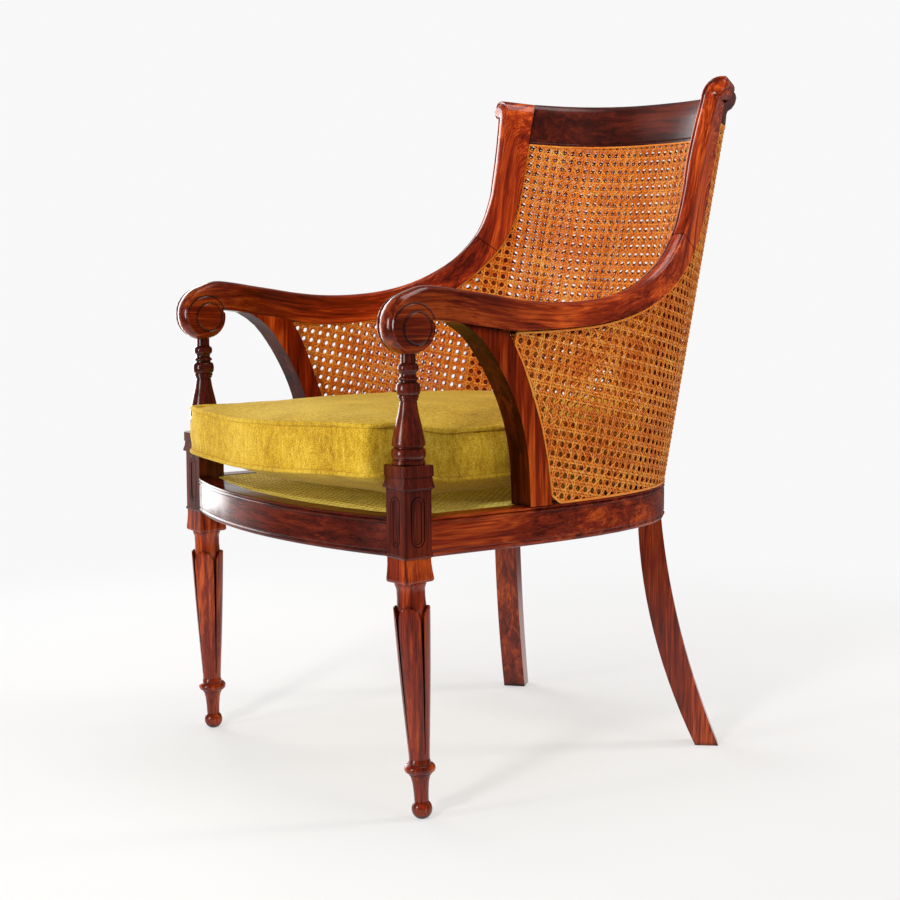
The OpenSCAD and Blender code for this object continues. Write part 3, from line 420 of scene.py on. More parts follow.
warm_tones = (srgb(72, 15, 4), srgb(132, 39, 9), srgb(198, 84, 26))
deep_tones = (srgb(44, 9, 4), srgb(76, 20, 8), srgb(112, 38, 16))
warm = {"z": mahogany("mahogany_along_z", "z", *warm_tones),
        "sweep": mahogany("mahogany_along_the_sweep", "sweep", *warm_tones),
        "round": mahogany("mahogany_round_the_tub", "round", *warm_tones)}
# The brackets' forward faces carry painted shade.
bracket = mahogany("mahogany_of_the_brackets", "z", *warm_tones, (0.3, 0.45),
                   painted_front_shade=0.8, ior=1.15)
crest_wood = mahogany("mahogany_of_the_crest", "x", *deep_tones, gloss=(0.26, 0.36))
deep = {axis: mahogany("dark_mahogany_along_" + axis, axis, *deep_tones) for axis in "xz"}
beech = mahogany("beech_block", "y", srgb(150, 112, 70), srgb(188, 150, 104),
                 srgb(212, 178, 132), gloss=(0.5, 0.6))

# %% [markdown]
# ## Dress the joiner's pieces
#
# Each board gets the mahogany whose grain runs along it. The frame's solids have knife
# edges, and real edges are eased by sandpaper and a century of polishing. A live bevel of
# 0.8 mm catches the light there. The arms and stiles get much less, because their own
# reeds are round, and the joint at each elbow is sanded flush. The solids themselves
# aren't touched: the weld and the bevel are modifiers on top of them.

# %% Give every wooden node its material and eased edges
grain = {
    "front_leg_left": warm["z"], "front_leg_right": warm["z"], "arm_post_left": deep["z"],
    "arm_post_right": deep["z"], "front_rail": deep["x"], "side_rail_left": warm["round"],
    "side_rail_right": warm["round"], "back_rail": warm["round"], "rear_leg_left": warm["z"],
    "rear_leg_right": warm["z"], "corner_block_front_left": beech,
    "corner_block_front_right": beech, "corner_block_rear_left": beech,
    "corner_block_rear_right": beech, "arm_support_left": bracket,
    "arm_support_right": bracket, "arm_left": warm["sweep"], "arm_right": warm["sweep"],
    "back_stile_left": warm["sweep"], "back_stile_right": warm["sweep"], "crest_rail": crest_wood,
}


def dress(name, material, eased):
    """Swaps the node's materials, shades it smooth and eases its edges with modifiers."""
    node = nodes[name]
    node.data.materials.clear()
    node.data.materials.append(material)
    node.data.polygons.foreach_set("use_smooth", np.ones(len(node.data.polygons), bool))
    weld = node.modifiers.new("weld", "WELD")
    weld.merge_threshold = 0.00002
    ease = node.modifiers.new("eased_edges", "BEVEL")
    ease.width, ease.segments = eased, 2
    ease.limit_method, ease.angle_limit = "ANGLE", math.radians(34)
    ease.use_clamp_overlap = True
    weighted = node.modifiers.new("even_shading", "WEIGHTED_NORMAL")
    weighted.keep_sharp = True


EASED, FLUSH = 0.0008, 0.00012
for name, material in grain.items():
    dress(name, material, EASED if material is not warm["sweep"] else FLUSH)
print("dressed", len(grain), "wooden nodes")

# %% [markdown]
# ## The tub as a surface
#
# The two layers of cane follow the tub: a straight run on each side, joined by a squared
# half ellipse, all leaning back. Rolled out flat, such a wall is a plain sheet, because it
# bends one way only. So a place on it has two numbers: u runs round the tub square to the
# lean, and v runs up along the lean. Rows of cane follow u and uprights follow v.

# %% The tub's middle line, rolled out
HALF_WIDTH, DEPTH, SQUARE = 0.268, 0.421, 2.77
LEAN = math.radians(11.7)
FOOT = 0.2
BORDER, BACK_TOP, FLARE = 58.8345, 0.927, 0.006


def middle_line():
    """Plan of the tub as (x, y, normal x, normal y, angle, u) at 1803 places.

    The curve is |x / half width|^s + |y / depth|^s = 1 and its normal is the gradient.
    u is the length along the curve once y is foreshortened by the cosine of the lean.
    """
    angle = np.linspace(0.0, 180.0, 1801)
    c, s = np.cos(np.radians(angle)), np.sin(np.radians(angle))
    radius = ((np.abs(c) / HALF_WIDTH) ** SQUARE + (np.abs(s) / DEPTH) ** SQUARE) ** (-1 / SQUARE)
    x, y = radius * c, radius * s
    nx = np.sign(x) * (np.abs(x) / HALF_WIDTH) ** (SQUARE - 1) / HALF_WIDTH
    ny = (np.abs(y) / DEPTH) ** (SQUARE - 1) / DEPTH
    length = np.hypot(nx, ny)
    x = np.r_[HALF_WIDTH, x, -HALF_WIDTH]
    y = np.r_[-FOOT, y, -FOOT] + START
    nx, ny = np.r_[1.0, nx / length, -1.0], np.r_[0.0, ny / length, 0.0]
    angle = np.r_[-1.0, angle, 181.0]
    u = np.r_[0.0, np.cumsum(np.hypot(np.diff(x), np.diff(y) * math.cos(LEAN)))]
    return x, y, nx, ny, angle, u


LINE = middle_line()
ROUND = LINE[5][-1]


def ease(t):
    """The smooth step 3 t^2 - 2 t^3, which is 0 before t = 0 and 1 after t = 1."""
    t = np.clip(t, 0.0, 1.0)
    return t * t * (3 - 2 * t)


def flare(angle, z):
    """How far the back swells outwards: nothing at the stiles, and more with height."""
    height = np.clip((z - SEAT_TOP) / (BACK_TOP - SEAT_TOP), 0.0, None)
    return FLARE * height * ease((angle - BORDER - 0.5) / 9) * ease((179.5 - BORDER - angle) / 9)


def height_at(u, v):
    """Height above the floor of a place u, v on the tub."""
    y = np.interp(u, LINE[5], LINE[1])
    return SEAT_TOP + (v - (y - START) * math.sin(LEAN)) * math.cos(LEAN)


def tub(u, v, out):
    """Points at u, v on the wall, moved outwards by out along the plan's normal."""
    x, y, nx, ny, angle = (np.interp(u, LINE[5], column) for column in LINE[:5])
    z = height_at(u, v)
    out = out + flare(angle, z)
    return np.stack([x + out * nx, y + out * ny + math.tan(LEAN) * (z - SEAT_TOP) + POST_Y, z],
                    axis=-1)


print("round the tub", round(ROUND, 4), "m")


# %% Where a caned panel begins and ends
def panel_edges(name):
    """Columns (u, lowest z, highest z) of a caned node, found from its own corners."""
    p = corners_of(nodes[name])
    plan = np.stack([p[:, 0], p[:, 1] - POST_Y - math.tan(LEAN) * (p[:, 2] - SEAT_TOP)], -1)
    fine_u = np.linspace(0.0, ROUND, 6001)
    line = np.stack([np.interp(fine_u, LINE[5], LINE[0]), np.interp(fine_u, LINE[5], LINE[1])], -1)
    gap = ((plan[:, None, :] - line[None, :, :]) ** 2).sum(-1)
    u = fine_u[gap.argmin(axis=1)]
    order = np.argsort(u)
    u, z = u[order], p[order, 2]
    group = np.r_[0, np.cumsum(np.diff(u) > 0.0009)]
    starts = np.searchsorted(group, np.arange(group[-1] + 1))
    count = np.diff(np.r_[starts, len(u)])
    return (np.add.reduceat(u, starts) / count, np.minimum.reduceat(z, starts),
            np.maximum.reduceat(z, starts))


panels = {name: panel_edges(name) for name in ("outer_cane", "inner_cane")}
for name, (u, low, high) in panels.items():
    print(name, len(u), "columns, u", round(u[0], 3), "to", round(u[-1], 3))

# %% [markdown]
# ## Weaving the cane
#
# Six-way cane is woven from flat strands peeled from rattan. Uprights and rows go in pairs,
# one strand over and the other under, and two sets of diagonals pass between the pairs'
# crossings and cut the corners of each square, which leaves the round-looking holes. A
# see-through picture of cane would be flat from close by, so each strand here is a real
# band, and its way over and under is written as a short table that repeats every square.

# %% Bands along lines of the weave
OUTER_PITCH = np.array([0.0133, 0.01297])
INNER_PITCH = np.array([0.0132, 0.01275])
SEAT_PITCH = np.array([0.0108, 0.0108])
PAIR = 0.132
STEP_OVER, DIAGONAL_OVER = 0.00036, 0.00086


def band(path, across, lift, surface, width, thick):
    """Corners of a flat band: four per place, across the path and through its thickness.

    path is u, v at each place, across the unit direction square to it on the sheet, and lift
    how far the place stands above the sheet's middle. The outer face is narrower, so it
    looks rounded once it is shaded smooth.
    """
    corners = []
    for half, level in ((0.36, 0.5), (-0.36, 0.5), (-0.5, -0.5), (0.5, -0.5)):
        q = path + across * (width * half)
        corners.append(surface(q[:, 0], q[:, 1], lift + level * thick))
    return np.stack(corners, axis=1).reshape(-1, 3)


def band_faces(count, first):
    """Four sides between each pair of places, and a cap at each end."""
    ring = first + 4 * np.arange(count - 1)[:, None]
    side = np.arange(4)[None, :]
    turn = (side + 1) % 4
    sides = np.stack([ring + side, ring + 4 + side, ring + 4 + turn, ring + turn], -1)
    last = first + 4 * (count - 1)
    caps = np.array([[first, first + 1, first + 2, first + 3],
                     [last + 3, last + 2, last + 1, last]])
    return np.concatenate([sides.reshape(-1, 4), caps])


def runs_inside(inside, places):
    """Pairs of the first and last place of every stretch that lies inside the panel."""
    edge = np.diff(np.r_[0, inside.astype(int), 0])
    first, last = np.nonzero(edge == 1)[0], np.nonzero(edge == -1)[0] - 1
    return [(places[a], places[b]) for a, b in zip(first, last) if b - a > 12]


def weave(family, surface, inside, reach, origin, size, width, thick, outward=1.0):
    """All strands of one family as (points, faces, place along, tone of the strand).

    A family is "uprights", "rows", "rising" or "falling". In squares of that size a strand
    is the line a = k + s, b = k + s, b = a + k + 1/2 or b = k + 1/2 - a, and its knots say
    where it passes over (+) or under (-).
    """
    low, high = (np.array(reach, float) - origin) / size
    points, faces, along, tones = [], [], [], []
    first = 0
    strands = []
    if family in ("uprights", "rows"):
        axis = 0 if family == "uprights" else 1
        sign = -1.0 if axis == 0 else 1.0
        for k in range(math.floor(low[axis]), math.ceil(high[axis]) + 1):
            for s in (-1, 1):
                knots = np.array([-PAIR, PAIR, 0.5])
                lifts = np.array([1.0, -1.0, 0.0]) * sign * s * STEP_OVER
                base, step = np.zeros(2), np.zeros(2)
                base[axis], step[1 - axis] = k + s * PAIR, 1.0
                strands.append((base, step, knots, lifts, low[1 - axis], high[1 - axis]))
    else:
        slope = 1.0 if family == "rising" else -1.0
        ends = [low[1] - slope * low[0], low[1] - slope * high[0],
                high[1] - slope * low[0], high[1] - slope * high[0]]
        for k in range(math.floor(min(ends)), math.ceil(max(ends)) + 1):
            knots = np.array([0.0, 0.25, 0.5, 0.75])
            lifts = np.array([1.0, 0.0, -1.0, 0.0]) * slope * DIAGONAL_OVER
            strands.append((np.array([0.0, k + 0.5]), np.array([1.0, slope]), knots, lifts,
                            low[0], high[0]))
    generator = np.random.default_rng(41 + len(family))
    for base, step, knots, lifts, start, stop in strands:
        fine = np.arange(start, stop, 0.02)
        place = (base + fine[:, None] * step) * size + origin
        real = step * size
        length = np.hypot(*real)
        across = np.array([real[1], -real[0]]) / length
        cycle = np.arange(math.floor(start) - 1, math.ceil(stop) + 1)
        knot_at = (cycle[:, None] + knots[None, :]).ravel()
        knot_lift = np.tile(lifts, len(cycle))
        for begin, end in runs_inside(inside(place[:, 0], place[:, 1]), fine):
            between = knot_at[(knot_at > begin + 0.03) & (knot_at < end - 0.03)]
            t = np.r_[begin, between, end]
            lift = np.interp(t, knot_at, knot_lift)
            path = (base + t[:, None] * step) * size + origin
            points.append(band(path, across, outward * lift, surface, width, outward * thick))
            faces.append(band_faces(len(t), first))
            along.append(np.repeat(t * length, 4))
            tones.append(np.full(len(t) * 4, generator.random()))
            first += 4 * len(t)
    return (np.concatenate(points), np.concatenate(faces), np.concatenate(along),
            np.concatenate(tones))


# %% A mesh from arrays, with its faces turned outwards
def build(name, points, faces, material, along=None, tones=None, smooth=True):
    """One object from arrays. A negative volume means the faces look inwards: turn them."""
    a, b, c = (points[faces[:, k]] for k in range(3))
    d = points[faces[:, -1]]
    volume = np.einsum("ij,ij->i", a, np.cross(b, c)).sum()
    if faces.shape[1] == 4:
        volume += np.einsum("ij,ij->i", a, np.cross(c, d)).sum()
    if volume < 0:
        faces = faces[:, ::-1]
    mesh = bpy.data.meshes.new(name)
    mesh.vertices.add(len(points))
    mesh.vertices.foreach_set("co", points.astype(np.float32).ravel())
    mesh.loops.add(faces.size)
    mesh.loops.foreach_set("vertex_index", faces.astype(np.int32).ravel())
    mesh.polygons.add(len(faces))
    mesh.polygons.foreach_set("loop_start", np.arange(0, faces.size, faces.shape[1]))
    mesh.update(calc_edges=True)
    mesh.polygons.foreach_set("use_smooth", np.full(len(faces), smooth))
    if along is not None:
        for label, values in (("along", along), ("tone", tones)):
            mesh.attributes.new(label, "FLOAT", "POINT").data.foreach_set(
                "value", values.astype(np.float32))
    mesh.materials.append(material)
    piece = bpy.data.objects.new(name, mesh)
    bpy.context.scene.collection.objects.link(piece)
    return piece


# %% [markdown]
# ## The colour of cane
#
# Cane keeps the rattan's glossy bark on its outer face. It is straw to orange, no two
# strands alike, darker where it ages, with fine lines that run along each strand. Every
# strand carries its own tone and the length along it, and the material reads both.

# %% Cane material
def cane(name, pale, golden, tanned, roughness, ior):
    """Strand tone picks the colour, noise along the strand streaks it."""
    material = bpy.data.materials.new(name)
    tree, add = new_tree(material)
    coords = add("TexCoord").outputs["Object"]
    tone = add("Attribute", attribute_name="tone").outputs["Fac"]
    along = add("Attribute", attribute_name="along").outputs["Fac"]
    place = add("CombineXYZ", {0: along, 1: tone}).outputs[0]
    patches = add("TexNoise", {"Vector": coords, "Scale": 14.0, "Detail": 3.0})
    streaks = add("TexNoise", {"Vector": place, "Scale": 60.0, "Detail": 3.0})
    blend = blended(add, 0.5, tone, streaks.outputs["Fac"])
    blend = blended(add, 0.4, blend, patches.outputs["Fac"])
    colour = three_tones(add, blend, 0.25, tanned, golden, pale)
    gaps = add("AmbientOcclusion", {"Distance": 0.0025}, samples=4, only_local=False)
    shade = remap(add, gaps.outputs["AO"], 0.3, 0.8, 0.2, 1.0)
    fibres = add("TexNoise", {"Vector": coords, "Scale": 1400.0, "Detail": 1.0})
    relief = add("Bump", {"Height": fibres.outputs["Fac"], "Strength": 0.15,
                          "Distance": 0.0002})
    skin = add("BsdfPrincipled", {"Base Color": darkened(add, colour, shade), "Roughness":
                                  roughness, "Normal": relief.outputs[0], "IOR": ior})
    add("OutputMaterial", {"Surface": skin.outputs[0]})
    return material


panel_cane = cane("panel_cane", srgb(255, 190, 88), srgb(240, 134, 40), srgb(184, 74, 16),
                  roughness=0.28, ior=1.42)
seat_strands = cane("seat_strands", srgb(250, 236, 134), srgb(240, 220, 106), srgb(206, 176, 64),
                    roughness=0.55, ior=1.25)


# %% Weave the two layers of the tub
def panel_test(name, margin):
    """Function that tells which u, v lie inside the panel, that far from its edges."""
    u_edge, low, high = panels[name]

    def inside(u, v):
        z = height_at(u, v)
        above = z > np.interp(u, u_edge, low) + margin
        below = z < np.interp(u, u_edge, high) - margin
        return above & below & (u > u_edge[0]) & (u < u_edge[-1])
    return inside


def layer(sign):
    """The tub's surface at one layer of cane: outside where sign is 1, inside where -1."""
    return lambda u, v, lift: tub(u, v, sign * HALF_GAP + lift)


FAMILIES = {"uprights": 0.0025, "rows": 0.0025, "rising": 0.0022, "falling": 0.0022}
HALF_GAP, THICK, INNER_WIDER = 0.010, 0.00055, 1.1
SEAT_THICK, SEAT_NARROWER = 0.0008, 0.0001
hole = np.array([0.295, 0.0588])  # u, v of one hole of the near panel
far_side = np.array([ROUND - 0.33, 0.1])
far_hole = hole + np.round((far_side - hole) / OUTER_PITCH) * OUTER_PITCH
SHIFT = (0.001, 0.0014)  # on the far side the inner holes nearly meet the outer ones
lattices = {"outer_cane": (1.0, hole + OUTER_PITCH / 2, OUTER_PITCH),
            "inner_cane": (-1.0, far_hole + SHIFT + INNER_PITCH / 2, INNER_PITCH)}
total = 0
for name, (sign, origin, pitch) in lattices.items():
    for family, width in FAMILIES.items():
        width *= 1.0 if sign > 0 else INNER_WIDER
        points, faces, along, tones = weave(
            family, layer(sign), panel_test(name, 0.0004), [(0.0, -0.16), (ROUND, 0.62)],
            origin, pitch, width, THICK, sign)
        piece = build(name + "_" + family, points, faces, panel_cane, along, tones)
        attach(piece, "frame")
        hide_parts(name)
        total += 2 * len(faces)
print("triangles in the tub's cane", total)


# %% Bind the edges of the two layers
BINDING_TONE = 0.62


def outline_of(name):
    """The panel's outline as a closed line of u, v, at steps of about 3 mm.

    A height z is v = (z - rail top) / cos lean + (y - start) * sin lean on the tub.
    """
    u_edge, low, high = panels[name]
    rise = (np.interp(u_edge, LINE[5], LINE[1]) - START) * math.sin(LEAN)
    top = np.stack([u_edge, (high - SEAT_TOP) / math.cos(LEAN) + rise], -1)
    foot = np.stack([u_edge, (low - SEAT_TOP) / math.cos(LEAN) + rise], -1)
    line = np.concatenate([top, foot[::-1], top[:1]])
    run = np.r_[0.0, np.cumsum(np.linalg.norm(np.diff(line, axis=0), axis=1))]
    steps = np.linspace(0.0, run[-1], int(run[-1] / 0.003))
    return np.stack([np.interp(steps, run, line[:, 0]), np.interp(steps, run, line[:, 1])], -1)


def binding(name, sign, width=0.0036, thick=0.0012, overlap=0.0009, stands=0.0009):
    """A flat strip of cane laid along the outline, which it covers by the overlap."""
    line = outline_of(name)
    tangent = np.roll(line, -1, axis=0) - np.roll(line, 1, axis=0)
    tangent[0] = tangent[-1] = line[1] - line[-2]
    tangent /= np.linalg.norm(tangent, axis=1, keepdims=True)
    across = np.stack([tangent[:, 1], -tangent[:, 0]], -1)
    path = line + across * (width / 2 - overlap)
    points = band(path, across, sign * stands, layer(sign), width, sign * thick)
    faces = band_faces(len(path), 0)
    run = np.r_[0.0, np.cumsum(np.linalg.norm(np.diff(path, axis=0), axis=1))]
    return points, faces, np.repeat(run, 4), np.full(len(points), BINDING_TONE)


for name, (sign, origin, pitch) in lattices.items():
    points, faces, along, tones = binding(name, sign)
    piece = build(name + "_binding", points, faces, panel_cane, along, tones)
    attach(piece, "frame")
    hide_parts(name)
    print(name, "bound with a strip of", len(piece.data.polygons), "faces")

# %% [markdown]
# ## The seat's cane
#
# The seat is woven in the same way, flat, in a rebate of the rails, and hardly shows: a
# strip of it can be seen between the cushion and the rails. Its outline is read from the
# solid that it replaces, as a distance from the middle in every direction.

# %% Weave the seat
seat_points = corners_of(nodes["seat_cane"])
seat_z = (seat_points[:, 2].min() + seat_points[:, 2].max()) / 2
seat_middle = np.array([0.0, (seat_points[:, 1].min() + seat_points[:, 1].max()) / 2])
spoke = seat_points[:, :2] - seat_middle
turn = np.arctan2(spoke[:, 1], spoke[:, 0])
order = np.argsort(turn)
turn, reach = turn[order], np.hypot(*spoke[order].T)


def in_seat(x, y):
    """Inside where the distance from the middle is less than the outline's, that way."""
    dx, dy = x - seat_middle[0], y - seat_middle[1]
    edge = np.interp(np.arctan2(dy, dx), np.r_[turn - 2 * np.pi, turn, turn + 2 * np.pi],
                     np.tile(reach, 3))
    return np.hypot(dx, dy) < edge - 0.001


def seat_surface(x, y, lift):
    """The flat sheet of the seat."""
    return np.stack([x, y, seat_z + lift + 0 * x], axis=-1)


span = (seat_points[:, :2].min(axis=0), seat_points[:, :2].max(axis=0))
for family, width in FAMILIES.items():
    points, faces, along, tones = weave(family, seat_surface, in_seat, span, seat_middle,
                                        SEAT_PITCH, width - SEAT_NARROWER, SEAT_THICK)
    piece = build("seat_cane_" + family, points, faces, seat_strands, along, tones)
    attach(piece, "frame")
    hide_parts("seat_cane")
print("seat cane spans", [round(float(s), 3) for s in span[1] - span[0]])

# %% [markdown]
# ## Velvet
#
# The cushion is covered in ochre velvet. Its pile leans where it was last brushed, so it
# shows paler and darker strokes, and a soft light edge where it turns away: that is the
# sheen of the fibres' tips. The strokes are noise stretched upwards on the front and sides.

# %% Velvet material
def velvet(name, shadow, ochre, bright):
    """Brush strokes and cloudy patches pick the tone, a fine grain makes the pile."""
    material = bpy.data.materials.new(name)
    tree, add = new_tree(material)
    coords = add("TexCoord").outputs["Object"]
    tall = add("Mapping", {"Vector": coords, "Scale": (1.0, 1.0, 0.3)}).outputs[0]
    strokes = add("TexNoise", {"Vector": tall, "Scale": 190.0, "Detail": 5.0,
                               "Roughness": 0.6})
    patches = add("TexNoise", {"Vector": coords, "Scale": 9.0, "Detail": 4.0,
                               "Roughness": 0.55})
    grain_noise = add("TexNoise", {"Vector": coords, "Scale": 620.0, "Detail": 2.0})
    blend = blended(add, 0.5, strokes.outputs["Fac"], patches.outputs["Fac"])
    blend = blended(add, 0.4, blend, grain_noise.outputs["Fac"])
    pile = add("Bump", {"Height": grain_noise.outputs["Fac"], "Strength": 0.35,
                        "Distance": 0.0006})
    swirl = add("Bump", {"Height": strokes.outputs["Fac"], "Strength": 0.25,
                         "Distance": 0.0015, "Normal": pile.outputs[0]})
    colour = three_tones(add, blend, 0.14, shadow, ochre, bright)
    skin = add("BsdfPrincipled", {"Base Color": colour, "Roughness": 0.85,
                                  "Normal": swirl.outputs[0], "Specular IOR Level": 0.2,
                                  "Sheen Weight": 0.25, "Sheen Roughness": 0.4,
                                  "Sheen Tint": (1.0, 0.84, 0.3, 1.0)})
    add("OutputMaterial", {"Surface": skin.outputs[0]})
    return material


ochre_velvet = velvet("ochre_velvet", srgb(142, 100, 10), srgb(204, 164, 40),
                      srgb(236, 204, 84))

# %% [markdown]
# ## The cushion
#
# The cushion is a box cushion: a top, a bottom, and a band between them, sewn with piping
# along both edges and stuffed until it is round. The solid has its plan and its crown, but
# cloth under pressure has a life that a solid lacks. So a copy is remeshed, drawn in a
# little and blown up again as cloth. The corners along its two seams are held, as the
# piping's cord holds them, so the plan keeps its shape while top, bottom and band fill out.
# The cover is then kept within the solid's own skin and drawn in along the seams.

# %% Stuff the cushion
cushion_low, cushion_high = (np.array(c, float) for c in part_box("seat_cushion"))
TOP_SEAM, BOTTOM_SEAM = 0.4755, 0.4155
RIM, HELD_IN, DRAWN_IN, FURTHEST = 0.009, 0.0008, 0.004, 0.022


def copy_of(name, new_name):
    """A welded copy of a node as an object of its own."""
    mesh = nodes[name].data.copy()
    piece = bpy.data.objects.new(new_name, mesh)
    bpy.context.scene.collection.objects.link(piece)
    weld = piece.modifiers.new("weld", "WELD")
    weld.merge_threshold = 0.00002
    apply_modifiers(piece)
    return piece


def apply_modifiers(piece):
    """Bakes what the modifiers show into the piece's own mesh."""
    graph = bpy.context.evaluated_depsgraph_get()
    done = bpy.data.meshes.new_from_object(piece.evaluated_get(graph))
    piece.modifiers.clear()
    piece.data = done


def move_corners(piece, points):
    """Writes an array of vertices back into the object's mesh."""
    piece.data.vertices.foreach_set("co", points.astype(np.float32).ravel())
    piece.data.update()


def squared_corners(points, forward=0.013):
    """Brings the two front corners forward: by forward * ease(|x|) * ease(how far in front).

    The stuffing pushes them out until the front edge is straighter than the rail below it.
    """
    across = ease((np.abs(points[:, 0]) - 0.08) / 0.14)
    front = ease((-0.20 - points[:, 1]) / 0.12)
    moved = points.copy()
    moved[:, 1] -= forward * across * front
    return moved


skin_solid = copy_of("seat_cushion", "cushion_skin")
cushion = copy_of("seat_cushion", "cushion_cover")
remesh = cushion.modifiers.new("remesh", "REMESH")
remesh.mode, remesh.voxel_size = "VOXEL", 0.005
apply_modifiers(cushion)
start = squared_corners(corners_of(cushion))
move_corners(cushion, start)
move_corners(skin_solid, squared_corners(corners_of(skin_solid)))
normals = np.empty(len(start) * 3, np.float32)
cushion.data.vertices.foreach_get("normal", normals)
middle = (cushion_low + cushion_high) / 2


def rim_of(points, height, near, count=180):
    """True for points near a seam: close to its height and to the rim that way round."""
    out = points[:, :2] - middle[:2]
    sector = ((np.arctan2(out[:, 1], out[:, 0]) + np.pi) / (2 * np.pi) * count).astype(int)
    sector %= count
    reach = np.hypot(*out.T)
    level = np.abs(points[:, 2] - height) < near
    furthest = np.zeros(count)
    np.maximum.at(furthest, sector[level], reach[level])
    return level & (reach > furthest[sector] - RIM)


sewn = rim_of(start, TOP_SEAM, 0.005) | rim_of(start, BOTTOM_SEAM, 0.005)
inward = np.where(sewn, HELD_IN, DRAWN_IN)[:, None]
move_corners(cushion, start - inward * normals.reshape(-1, 3))
held = cushion.vertex_groups.new(name="sewn")
held.add(np.nonzero(sewn)[0].tolist(), 1.0, "REPLACE")
print("corners held by the seams", int(sewn.sum()))
cloth = cushion.modifiers.new("cloth", "CLOTH")
cloth.settings.quality = 4
cloth.settings.mass = 0.3
cloth.settings.tension_stiffness = cloth.settings.compression_stiffness = 12
cloth.settings.shear_stiffness = 6
cloth.settings.bending_stiffness = 0.6
cloth.settings.vertex_group_mass = "sewn"
cloth.settings.use_pressure = True
cloth.settings.uniform_pressure_force = 4.0
cloth.settings.effector_weights.gravity = 0.0
cloth.collision_settings.use_collision = False
scene = bpy.context.scene
for moment in range(1, 21):
    scene.frame_set(moment)
apply_modifiers(cushion)
scene.frame_set(1)
swollen = corners_of(cushion)
moved = swollen - start
size = np.linalg.norm(moved, axis=1, keepdims=True)
move_corners(cushion, start + moved * np.minimum(1.0, FURTHEST / np.maximum(size, 1e-9)))
print("cloth moved by up to", round(float(size.max()) * 1000, 1), "mm,", len(start), "corners")

# %% Keep it in the solid's skin, and draw in the seams
KEPT_AT_START, SEAM_DEPTH, SEAM_SPREAD = 0.65, 0.0014, 0.0045
wrap = cushion.modifiers.new("within_the_skin", "SHRINKWRAP")
wrap.target, wrap.wrap_method, wrap.wrap_mode = skin_solid, "NEAREST_SURFACEPOINT", "INSIDE"
apply_modifiers(cushion)
smooth = cushion.modifiers.new("settle", "SMOOTH")
smooth.factor, smooth.iterations = 0.5, 3
apply_modifiers(cushion)
settled = corners_of(cushion)
settled[sewn, :2] += KEPT_AT_START * (start[sewn, :2] - settled[sewn, :2])
move_corners(cushion, settled)


def draw_in(points, height, depth, spread):
    """Moves points near a seam's height towards the cushion's middle, most at the seam.

    The pull is depth times exp(-(z - height)^2 / spread^2), and only the rim is pulled.
    """
    out = points[:, :2] - middle[:2]
    length = np.linalg.norm(out, axis=1, keepdims=True)
    pull = depth * np.exp(-((points[:, 2] - height) / spread) ** 2)[:, None]
    moved = points.copy()
    moved[:, :2] -= out / np.maximum(length, 1e-9) * pull * (length > 0.15)
    return moved


cover = corners_of(cushion)
for seam in (TOP_SEAM, BOTTOM_SEAM):
    cover = draw_in(cover, seam, SEAM_DEPTH, SEAM_SPREAD)
move_corners(cushion, cover)
cushion.data.polygons.foreach_set("use_smooth", np.ones(len(cushion.data.polygons), bool))
round_off = cushion.modifiers.new("round_off", "SUBSURF")
round_off.levels = round_off.render_levels = 1
apply_modifiers(cushion)
cushion.data.materials.clear()
cushion.data.materials.append(ochre_velvet)
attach(cushion, "cushion")
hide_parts("seat_cushion")

# %% [markdown]
# ## How the cushion has settled
#
# Years of use moved the stuffing: the near front corner stands up, the side behind it has
# sunk, and so has the front's middle. That is a shift in height alone, the same for the
# cover and the cords on it, so it is written once and used on both.

# %% The shift in height
CORNER_RISE, SIDE_SINKS, FRONT_SINKS = 0.007, 0.006, 0.004


def settled_by_use(points):
    """Adds to z: rise * ease(x) in front, less the side's sinking * ease(x) behind, less the
    front's sinking * exp(-(x + 0.07)^2 / 0.09^2), which ends behind the front."""
    x, y = points[:, 0], points[:, 1]
    corner, behind = ease((x - 0.04) / 0.16), ease((y + 0.30) / 0.09)
    rise = CORNER_RISE * (1 - behind) - SIDE_SINKS * behind * ease((0.25 - y) / 0.2)
    dip = FRONT_SINKS * np.exp(-((x + 0.07) / 0.09) ** 2) * (1 - ease((y + 0.30) / 0.15))
    moved = points.copy()
    moved[:, 2] += corner * rise - dip
    return moved


# %% [markdown]
# ## The piping
#
# Piping is a cord wrapped in a strip of the same cloth and caught in the seam. It has to
# lie on the stuffed cover, wherever that went, so its path is measured: at many angles round
# the cushion, the outermost corner of the cover near the seam's height says how far out it
# runs. A round section is then carried along that closed path.

# %% Carry a cord round each seam
CORD_RADIUS = 0.0032


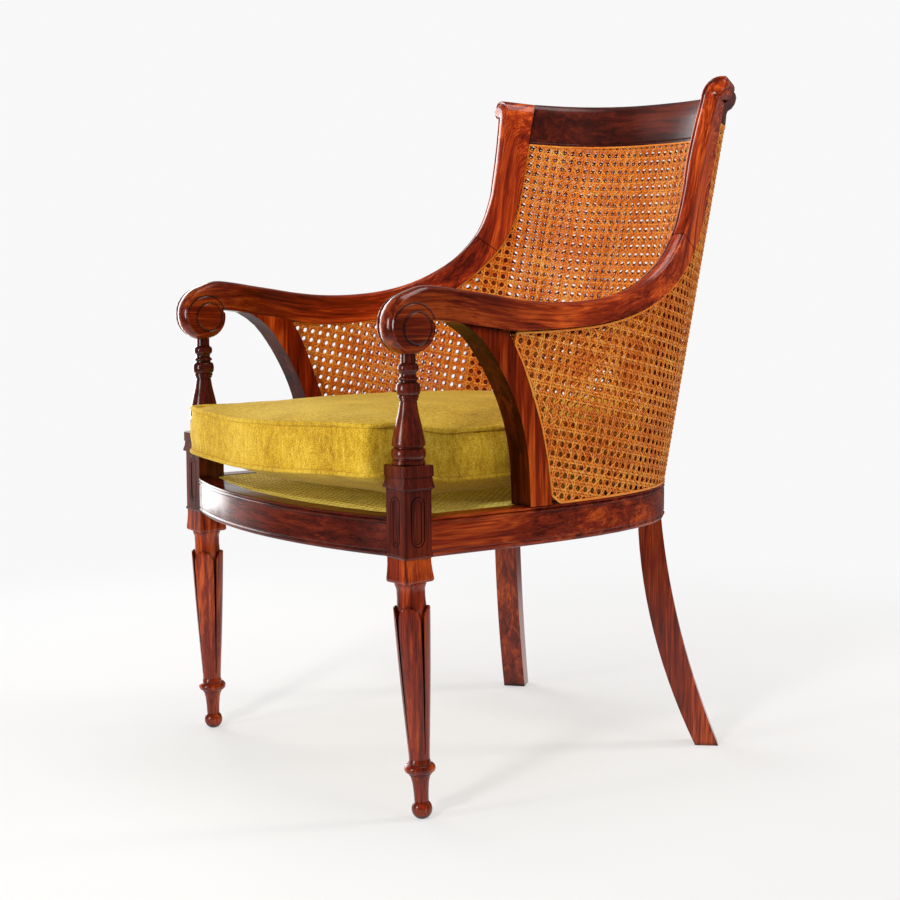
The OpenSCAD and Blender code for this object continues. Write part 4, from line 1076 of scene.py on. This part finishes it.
def seam_path(points, height, count=420):
    """Places round the cushion at a seam's height, at even steps of angle."""
    near = points[np.abs(points[:, 2] - height) < 0.004]
    out = near[:, :2] - middle[:2]
    angle, reach = np.arctan2(out[:, 1], out[:, 0]), np.hypot(*out.T)
    slot_of = ((angle + np.pi) / (2 * np.pi) * count).astype(int) % count
    furthest = np.zeros(count)
    np.maximum.at(furthest, slot_of, reach)
    filled = furthest > 0
    index = np.arange(count)
    furthest = np.interp(index, index[filled], furthest[filled], period=count)
    kernel = np.array([1, 2, 3, 2, 1]) / 9.0
    furthest = np.convolve(np.r_[furthest[-2:], furthest, furthest[:2]], kernel, "valid")
    angle = (index + 0.5) / count * 2 * np.pi - np.pi
    flat = middle[:2] + furthest[:, None] * np.stack([np.cos(angle), np.sin(angle)], -1)
    return np.c_[flat, np.full(count, height)]


def tube(path, radius, sides=10):
    """A round section at each place of a closed path, square to it."""
    tangent = np.roll(path, -1, axis=0) - np.roll(path, 1, axis=0)
    tangent /= np.linalg.norm(tangent, axis=1, keepdims=True)
    side = np.cross(tangent, [0.0, 0.0, 1.0])
    side /= np.linalg.norm(side, axis=1, keepdims=True)
    up = np.cross(side, tangent)
    angle = np.arange(sides) / sides * 2 * np.pi
    points = (path[:, None, :] + radius * (np.cos(angle)[None, :, None] * side[:, None, :]
                                           + np.sin(angle)[None, :, None] * up[:, None, :]))
    ring, spoke = np.meshgrid(np.arange(len(path)), np.arange(sides), indexing="ij")
    after, turned = (ring + 1) % len(path), (spoke + 1) % sides
    faces = np.stack([ring * sides + spoke, after * sides + spoke,
                      after * sides + turned, ring * sides + turned], -1)
    return points.reshape(-1, 3), faces.reshape(-1, 4)


cover = corners_of(cushion)
for label, height in (("top", TOP_SEAM), ("bottom", BOTTOM_SEAM)):
    path = seam_path(cover, height)
    points, faces = tube(path, CORD_RADIUS)
    cord = build("piping_" + label, settled_by_use(points), faces, ochre_velvet)
    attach(cord, "cushion")
    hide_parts("seat_cushion")
    length = np.linalg.norm(np.diff(np.r_[path, path[:1]], axis=0), axis=1).sum()
    print(label, "piping", round(float(length), 3), "m long")
move_corners(cushion, settled_by_use(cover))
bpy.data.objects.remove(skin_solid)

# %% [markdown]
# ## View settings
#
# The colours are meant to be seen as written, so the view transform is Standard.

# %% Finish
bpy.context.scene.view_settings.view_transform = "Standard"
